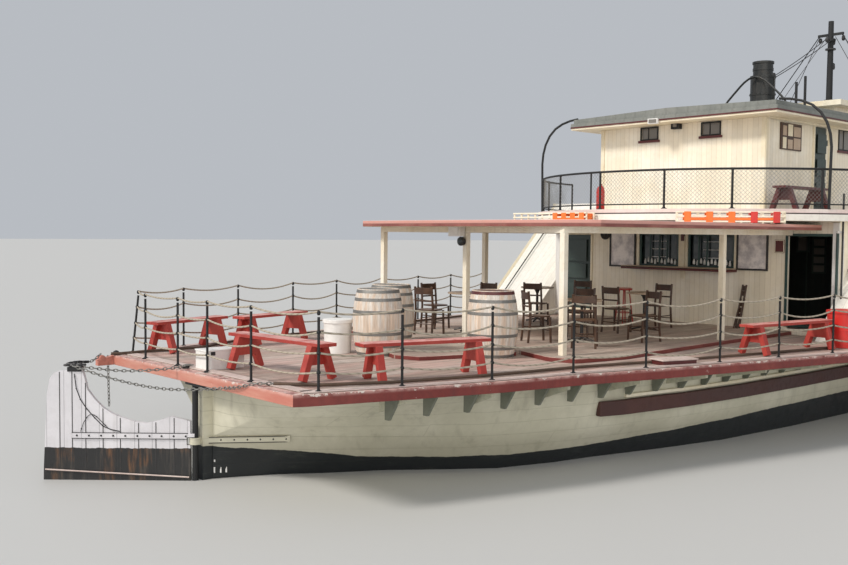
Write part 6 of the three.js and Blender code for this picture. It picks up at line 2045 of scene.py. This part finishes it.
@dataclass
class UpperCabin:
    """Cabin on the upper deck: boards, windows, doors, roof and what hangs on its walls."""

    aft: float = -5.7
    half: float = 2.0
    after_windows: tuple = ((0.52, 0.93), (-0.99, -0.58))
    side_window: tuple = (-2.61, -2.01, 5.32, 5.73)
    door_strips: tuple = (-3.745, -3.062)
    picture: tuple = (-5.15, -4.31, 5.165, 5.70)
    door_panels: tuple = tuple((0, up, -0.16, tall, 0.008, 0)
            for up, tall in ((0.36, 0.5), (0.92, 0.36), (1.42, 0.4)))
    knob: tuple = ((0.012, 0), (0.012, 0.02), (0.022, 0.028), (0.022, 0.036), (0.006, 0.042))

    def build(self) -> None:
        """Walls, roof, doors and pipes."""
        refined("upper_cabin", "cream_paint", WALL, bevel=0.006)

        def parts(centres: Array, normals: Array) -> Array:
            """The roof's sheet, its lower board and its underside."""
            pipe = (centres[:, 2] > 6.09)
            return np.where(pipe, 2, np.where((centres[:, 2] > 5.90) | (normals[:, 2] > 0.5), 0, 1))

        refined("cabin_roof", "roof_paint", ROOF, TRIM, IRON, bevel=0.008, choose=parts)
        for side in ("port", "starboard"):
            refined(f"{side}_cabin_door", "green_paint", GREEN, bevel=0.004)

    def window(self, piece: Piece, centre: Array, wide: float, high: float, facing: Array) -> None:
        """A window on a wall: thin black frame, dusty pane with a divider and a maroon sill.

        Args:
            piece: Piece with dark maroon, pane and black as its second to fourth finishes.
            centre: Middle of the opening, on the wall's outer face.
            wide: Width of the opening.
            high: Height of the opening.
            facing: Direction that the wall faces.
        """
        turn = axes(np.cross((0, 0, 1), facing), (0, 0, 1))
        out = np.asarray(facing, float)

        def bar(u: float, v: float, size: Array, off: float, finish: int) -> None:
            """One board at u along and v up, its middle off the wall by so much."""
            piece.box(centre + turn[:, 0] * u + (0, 0, v) + out * off, size, finish, turn)

        for way in (-1, 1):
            bar(way * (wide / 2 + 0.012), 0, (0.028, 0.03, high + 0.05), 0.006, 3)
            bar(0, way * (high / 2 + 0.012), (wide, 0.03, 0.028), 0.006, 3)
        bar(0, 0, (wide - 0.002, 0.006, high - 0.002), -0.02, 2)
        bar(-wide * 0.08, 0, (0.02, 0.016, high), -0.012, 3)
        bar(0, -high / 2 - 0.052, (wide + 0.12, 0.05, 0.05), 0.022, 1)

    def dress(self) -> None:
        """Windows, lamps, the blank board of six cells, corner boards, eave boards and door panels."""
        piece = Piece("cabin_fittings", "cream_paint",
                [TRIM, DARK_MAROON, PANE, IRON, WHITE, CHAIR_WOOD, TABLE_TOP])
        for y0, y1 in self.after_windows:
            self.window(piece, np.array((self.aft, (y0 + y1) / 2, 5.615)), y1 - y0, 0.235, (-1, 0, 0))
        x0, x1, z0, z1 = self.side_window
        for side in (-1, 1):
            wall = side * self.half
            self.window(piece, np.array(((x0 + x1) / 2, wall, (z0 + z1) / 2)), x1 - x0, z1 - z0, (0, side, 0))
            piece.box((self.aft + 0.03, wall + side * 0.012, 4.86), (0.085, 0.03, 1.86))
            piece.box((self.aft - 0.012, wall - side * 0.03, 4.86), (0.03, 0.085, 1.86))
            for x in self.door_strips:
                piece.box((x, wall + side * 0.014, 4.84), (0.05, 0.032, 1.80))
            piece.box((-3.45, wall + side * 0.045, 5.765), (4.5, 0.03, 0.06))
        x0, x1, z0, z1 = self.picture
        centre = np.array(((x0 + x1) / 2, -self.half - 0.016, (z0 + z1) / 2))
        piece.box(centre, (x1 - x0, 0.03, z1 - z0), 5)
        cells = np.array([(0.0, 0.2), (0.28, 0.55), (0.6, 1.0)])
        rows = np.array([(0.04, 0.46), (0.52, 0.96)])
        for k, (u0, u1) in enumerate(cells):
            for j, (v0, v1) in enumerate(rows):
                shift = 0.07 * ((k + j) % 2)
                size = ((x1 - x0) * (u1 - u0) * 0.82, 0.012, (z1 - z0) * (v1 - v0 - shift))
                spot = (x0 + (x1 - x0) * (0.08 + 0.86 * (u0 + u1) / 2), centre[1] - 0.018,
                        z0 + (z1 - z0) * ((v0 + v1) / 2 - shift / 2))
                piece.box(spot, size, (0, 6, 6)[(k + 2 * j) % 3])
        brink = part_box("cabin_roof")[0][0]
        piece.box((brink - 0.065, 0.24, 5.80), (0.08, 0.22, 0.11), 4, yaw(0.2))
        piece.box((brink - 0.110, 0.23, 5.80), (0.012, 0.17, 0.075), 2, yaw(0.2))
        piece.add(spans([(brink + 0.005, 0.24, 5.82)], [(brink - 0.03, 0.24, 5.82)], 0.02, sides=8), 3)
        piece.box((self.aft - 0.06, 0.01, 5.735), (0.12, 0.20, 0.15), 3)
        piece.box((self.aft - 0.125, 0.01, 5.735), (0.01, 0.09, 0.07), 2)
        piece.make(bevel=0.003)
        edges = Piece("roof_edges", "maroon_paint", [DARK_MAROON, ROOF])
        x, y, z = brink - 0.004, 2.504, 5.826
        fore = -1.21
        for up, thick, tall, finish in ((0.0, 0.03, 0.03, 0), (0.05, 0.012, 0.08, 1)):
            edges.box((x, 0, z + up), (thick, 2 * y, tall), finish)
            sides = [((x + fore) / 2, way * y, z + up) for way in (1, -1)]
            edges.box(sides, (fore - x, thick, tall), finish)
        edges.make(bevel=0.004)
        for side in ("port", "starboard"):
            DoorLeaf(f"{side}_cabin_door", [GREEN, GREY_IRON], self.door_panels, self.knob, (0.06, 0.9),
                    bevel=0.002).dress()


@dataclass
class Wheelhouse:
    """Wheelhouse with windows all round, its roof, door and steering wheel."""

    front: float = 0.70
    back: float = -1.14
    half: float = 1.15
    front_windows: tuple = ((-1.0, -0.37), (-0.31, 0.31), (0.37, 1.0))
    window_z: float = 5.685
    door_panels: tuple = ((0, 0.45, -0.18, 0.6, 0.008, 0), (0, -0.45, -0.18, 0.62, 0.006, 1))
    knob: tuple = ((0.012, 0), (0.012, 0.02), (0.024, 0.03), (0.008, 0.042))

    def build(self) -> None:
        """Walls, roof, door and wheel."""
        refined("wheelhouse", "cream_paint", WALL, bevel=0.006)
        refined("wheelhouse_roof", "roof_paint", ROOF, TRIM, bevel=0.012,
                choose=lambda c, n: (n[:, 2] < 0.5).astype(int))
        refined("wheelhouse_door", "green_paint", GREEN, bevel=0.005)
        refined("steering_wheel", "varnished_wood", SPAR, bevel=0.004, smooth=45)

    def dress(self) -> None:
        """Glass and sashes in the front and side windows, the wheel's iron boss, panels on the door."""
        piece = Piece("wheelhouse_windows", "cream_paint", [TRIM, TEAL, GLASS, DARK_MAROON])
        spots = []
        for y0, y1 in self.front_windows:
            spots.append((self.front - 0.03, (y0 + y1) / 2, 0, y1 - y0))
        for side in (-1, 1):
            spots.append((0.23, side * (self.half - 0.03), 1, 0.66))
        spots.append((-0.6, -(self.half - 0.03), 1, 0.70))
        for x, y, way, wide in spots:
            mid = np.array((x, y, self.window_z))
            size = np.array((0.006, wide - 0.04, 0.99))
            frame_v, frame_h = np.array((0.035, 0.04, 1.03)), np.array((0.035, wide, 0.04))
            swap = (lambda v: v[[1, 0, 2]]) if way else (lambda v: v)
            step = swap(np.array((0, wide / 2 - 0.02, 0)))
            piece.box(mid, swap(size), 2)
            piece.box([mid - step, mid + step], swap(frame_v), 1)
            piece.box([mid - (0, 0, 0.495), mid + (0, 0, 0.495), mid + (0, 0, 0.12)], swap(frame_h), 1)
        piece.box((self.front + 0.015, 0, 5.14), (0.05, 2.2, 0.04), 3)
        piece.box((self.front + 0.012, 0, 6.28), (0.03, 2.26, 0.06), 0)
        for sx in (self.front - 0.03, self.back + 0.03):
            for side in (-1, 1):
                piece.box((sx, side * (self.half + 0.010), 5.2), (0.08, 0.025, 2.44), 0)
        piece.make(bevel=0.003)
        boss = Piece("wheel_boss", "varnished_wood", [GREY_IRON], "steering_wheel")
        turn = axes((0, 0, 1), (-1, 0, 0))
        boss.add(lathe([(0.06, 0.0), (0.07, 0.02), (0.05, 0.05), (0.02, 0.06), (0.01, 0.06)],
                [(0.045, 0, 5.2)], 20, turn))
        boss.make(smooth=50)
        DoorLeaf("wheelhouse_door", [GREEN, GLASS, GREY_IRON], self.door_panels, self.knob, (0.07, 0.95),
                bevel=0.002).dress()


@dataclass
class FunnelAndMast:
    """Lowering funnel with its hoop and tackle, mast, stays and the cargo boom."""

    mast: tuple = (1.0, 0.0)
    head: float = 8.56
    funnel: tuple = (-2.30, 0.0)
    funnel_bands: tuple = ((6.24, 0.283), (6.72, 0.283), (7.12, 0.283), (7.30, 0.228))
    mast_bands: tuple = (3.96, 4.45, 6.9, 8.2)
    boom_root: tuple = (1.27, 0.0, 4.9)
    boom_rise: float = 20.0
    boom_bands: tuple = ((0.5, 0.077), (2.4, 0.074), (4.6, 0.068), (6.9, 0.058))

    def build(self) -> None:
        """Iron and spars."""
        refined("funnel_casing", "black_iron", STACK, bevel=0.004)
        refined("funnel", "black_iron", STACK, bevel=0.0, smooth=40)
        refined("mast", "black_iron", IRON, bevel=0.0, smooth=40)
        refined("boom_gooseneck", "black_iron", BLACK, bevel=0.005)
        refined("cargo_boom", "varnished_wood", SPAR, bevel=0.0, smooth=40)

    def dress(self) -> None:
        """Funnel bands and rivets, tackle to the mast head, blocks, light stays, lamp and boom fittings."""
        bands = Piece("funnel_bands", "black_iron", [STACK, BLACK], "funnel")
        x, y = self.funnel
        for z, r in self.funnel_bands:
            bands.add(lathe([(r - 0.004, -0.03), (r + 0.006, -0.028), (r + 0.006, 0.028), (r - 0.004, 0.03)],
                    [(x, y, z)], 40))
        ball = lathe([(0.009, -0.006), (0.012, 0), (0.009, 0.006)], [(0, 0, 0)], 6)
        for z, _ in self.funnel_bands[:3]:
            bands.add(copies(ball, circle(20, 0.291) + (x, y, z)))
        seam = np.stack((np.full(2, x), np.full(2, y - 0.284), np.array((6.22, 7.12))), -1)
        bands.add(tubes(seam, 0.012, 4))
        bands.add(prism([(0.27, 6.98), (0.27, 7.30), (0.46, 7.22), (0.42, 7.12)], -0.012, 0.012,
                (x, 0.0, 0.0), np.array(((1, 0, 0), (0, 0, 1), (0, 1, 0)), float)), 1)
        bands.make(smooth=45)
        rig = Piece("mast_rigging", "black_iron", [BLACK])
        mx, my = self.mast
        top = np.array((mx, my, self.head))
        lug = np.array((-2.0, 0.0, 7.13))
        for shift in (0.05, -0.05):
            rig.add(spans([lug + (0.12, shift, 0.02)], [top + (-0.1, shift * 2, -0.12)], 0.011, 0.03, 8, 6))
        block = lathe([(0.01, -0.07), (0.035, -0.055), (0.045, 0.0), (0.035, 0.055),
                (0.01, 0.07)], [(0, 0, 0)], 12)
        spots = [lug + (0.2, 0, 0.09), top + (-0.2, 0, -0.14), top + (0.16, 0, -0.16),
                top + (0.06, 0.3, -0.1), top + (0.06, -0.3, -0.1)]
        rig.add(copies(block, spots))
        for side in (-1, 1):
            rig.add(spans([top + (0, side * 0.28, 0.0)], [at(19.15, side * 3.2, 3.95)], 0.009, 0.0, 6, 6))
            rig.add(spans([top + (0, side * 0.12, -0.05)], [at(17.6, side * 1.35, 6.60)], 0.008, 0.0, 6, 6))
        for z in self.mast_bands:
            rig.add(lathe([(0.10, -0.02), (0.128, -0.018), (0.128, 0.018), (0.10, 0.02)], [(mx, my, z)], 24))
        rig.add(lathe([(0.01, 0.0), (0.05, 0.01), (0.06, 0.05), (0.055, 0.15), (0.03, 0.17), (0.01, 0.18)],
                [(mx + 0.14, my, 7.7)], 16), 0)
        rig.make(smooth=50)
        boom = Piece("boom_fittings", "varnished_wood", [BLACK, ROPE], "boom")
        root, rise = np.array(self.boom_root), math.radians(self.boom_rise)
        ahead = np.array((math.cos(rise), 0, math.sin(rise)))
        turn = axes((0, 1, 0), ahead)
        for d, r in self.boom_bands:
            ring = [(r - 0.006, -0.025), (r + 0.006, -0.022), (r + 0.006, 0.022), (r - 0.006, 0.025)]
            boom.add(lathe(ring, [root + ahead * d], 24, turn))
        boom.add(copies(block, [root + ahead * 6.9 - (0, 0, 0.16), root + ahead * 2.4 - (0, 0, 0.17)]))
        fall = np.outer(0.17 + 0.05 * np.sin(np.linspace(0, np.pi, 14)), (0, 0, 1))
        boom.add(tubes(root + ahead * np.linspace(2.4, 6.9, 14)[:, None] - fall, 0.011, 6), 1)
        boom.make(smooth=50)


# ---------------------------------------------------------------- camera, light, floor

@dataclass
class Studio:
    """Camera at the photograph's angle, soft light and a pale floor at the waterline."""

    place: tuple = (-23.7019, -12.0365, 3.4013)
    right: tuple = (0.74422322, -0.66787412, 0.00871543)
    up: tuple = (0.02634248, 0.04238711, 0.99875393)
    ahead: tuple = (0.66741132, 0.74306628, -0.04913894)
    lens: float = 41.86
    floor: float = 400.0
    suns: tuple = (("key", 2.5, 12, (1.0, 0.95, 0.88), (0.72, -0.22, -0.66)),
            ("fill", 1.35, 60, (1.0, 0.95, 0.86), (0.66, 0.73, -0.12)))

    def build(self) -> None:
        """Camera and floor."""
        camera = bpy.data.cameras.new("camera")
        camera.sensor_width, camera.lens, camera.clip_end = 36.0, self.lens, 900.0
        holder = stand("camera", camera)
        matrix = np.eye(4)
        matrix[:3, :3] = np.stack((self.right, self.up, -np.array(self.ahead)), -1)
        matrix[:3, 3] = self.place
        holder.matrix_world = Matrix(matrix.tolist())
        bpy.context.scene.camera = holder
        mesh = bpy.data.meshes.new("floor")
        h = self.floor
        mesh.from_pydata([(-h, -h, 0), (h, -h, 0), (h, h, 0), (-h, h, 0)], [], [(0, 1, 2, 3)])
        floor = stand("floor", mesh)
        paint = bpy.data.materials.new("floor")
        paint.use_nodes = True
        shader = paint.node_tree.nodes["Principled BSDF"]
        shader.inputs["Base Color"].default_value = (0.56, 0.56, 0.55, 1)
        shader.inputs["Roughness"].default_value = 0.55
        mesh.materials.append(paint)

    def dress(self) -> None:
        """A broad sun and a softer one that fills its shade, and an even pale sky."""
        for name, energy, spread, colour, toward in self.suns:
            sun = bpy.data.lights.new(name, "SUN")
            sun.energy, sun.angle, sun.color = energy, math.radians(spread), colour
            holder = stand(name, sun)
            holder.rotation_mode = "QUATERNION"
            holder.rotation_quaternion = Vector(toward).to_track_quat("-Z", "Y")
        world = bpy.data.worlds.new("sky")
        bpy.context.scene.world = world
        world.use_nodes = True
        sky = world.node_tree.nodes["Background"]
        sky.inputs[0].default_value = (0.80, 0.84, 0.90, 1)
        sky.inputs[1].default_value = 0.60
        bpy.context.scene.view_settings.view_transform = "Standard"


def main() -> None:
    """Builds the studio, the shared effects and the sub-assemblies in order."""
    logging.basicConfig(level=logging.INFO, format="%(message)s")
    for effect in (build_boards, build_weather, build_chips, build_grain):
        effect()
    parts = [Studio(), HullShell(), MainDeck(), Rudder(), SteeringGear(), LifeLines(), Benches(), Barrels(),
            Platform(), Awning(), Deckhouse(), Paddles(), UpperDeck(), UpperCabin(),
            Wheelhouse(), FunnelAndMast()]
    for part in parts:
        LOG.info("%s", type(part).__name__)
        part.build()
        part.dress()
    bare = [n for n, o in frame["nodes"].items() if not o.hide_render]
    LOG.info("CAD nodes still shown: %s", bare)


if __name__ == "__main__":
    main()
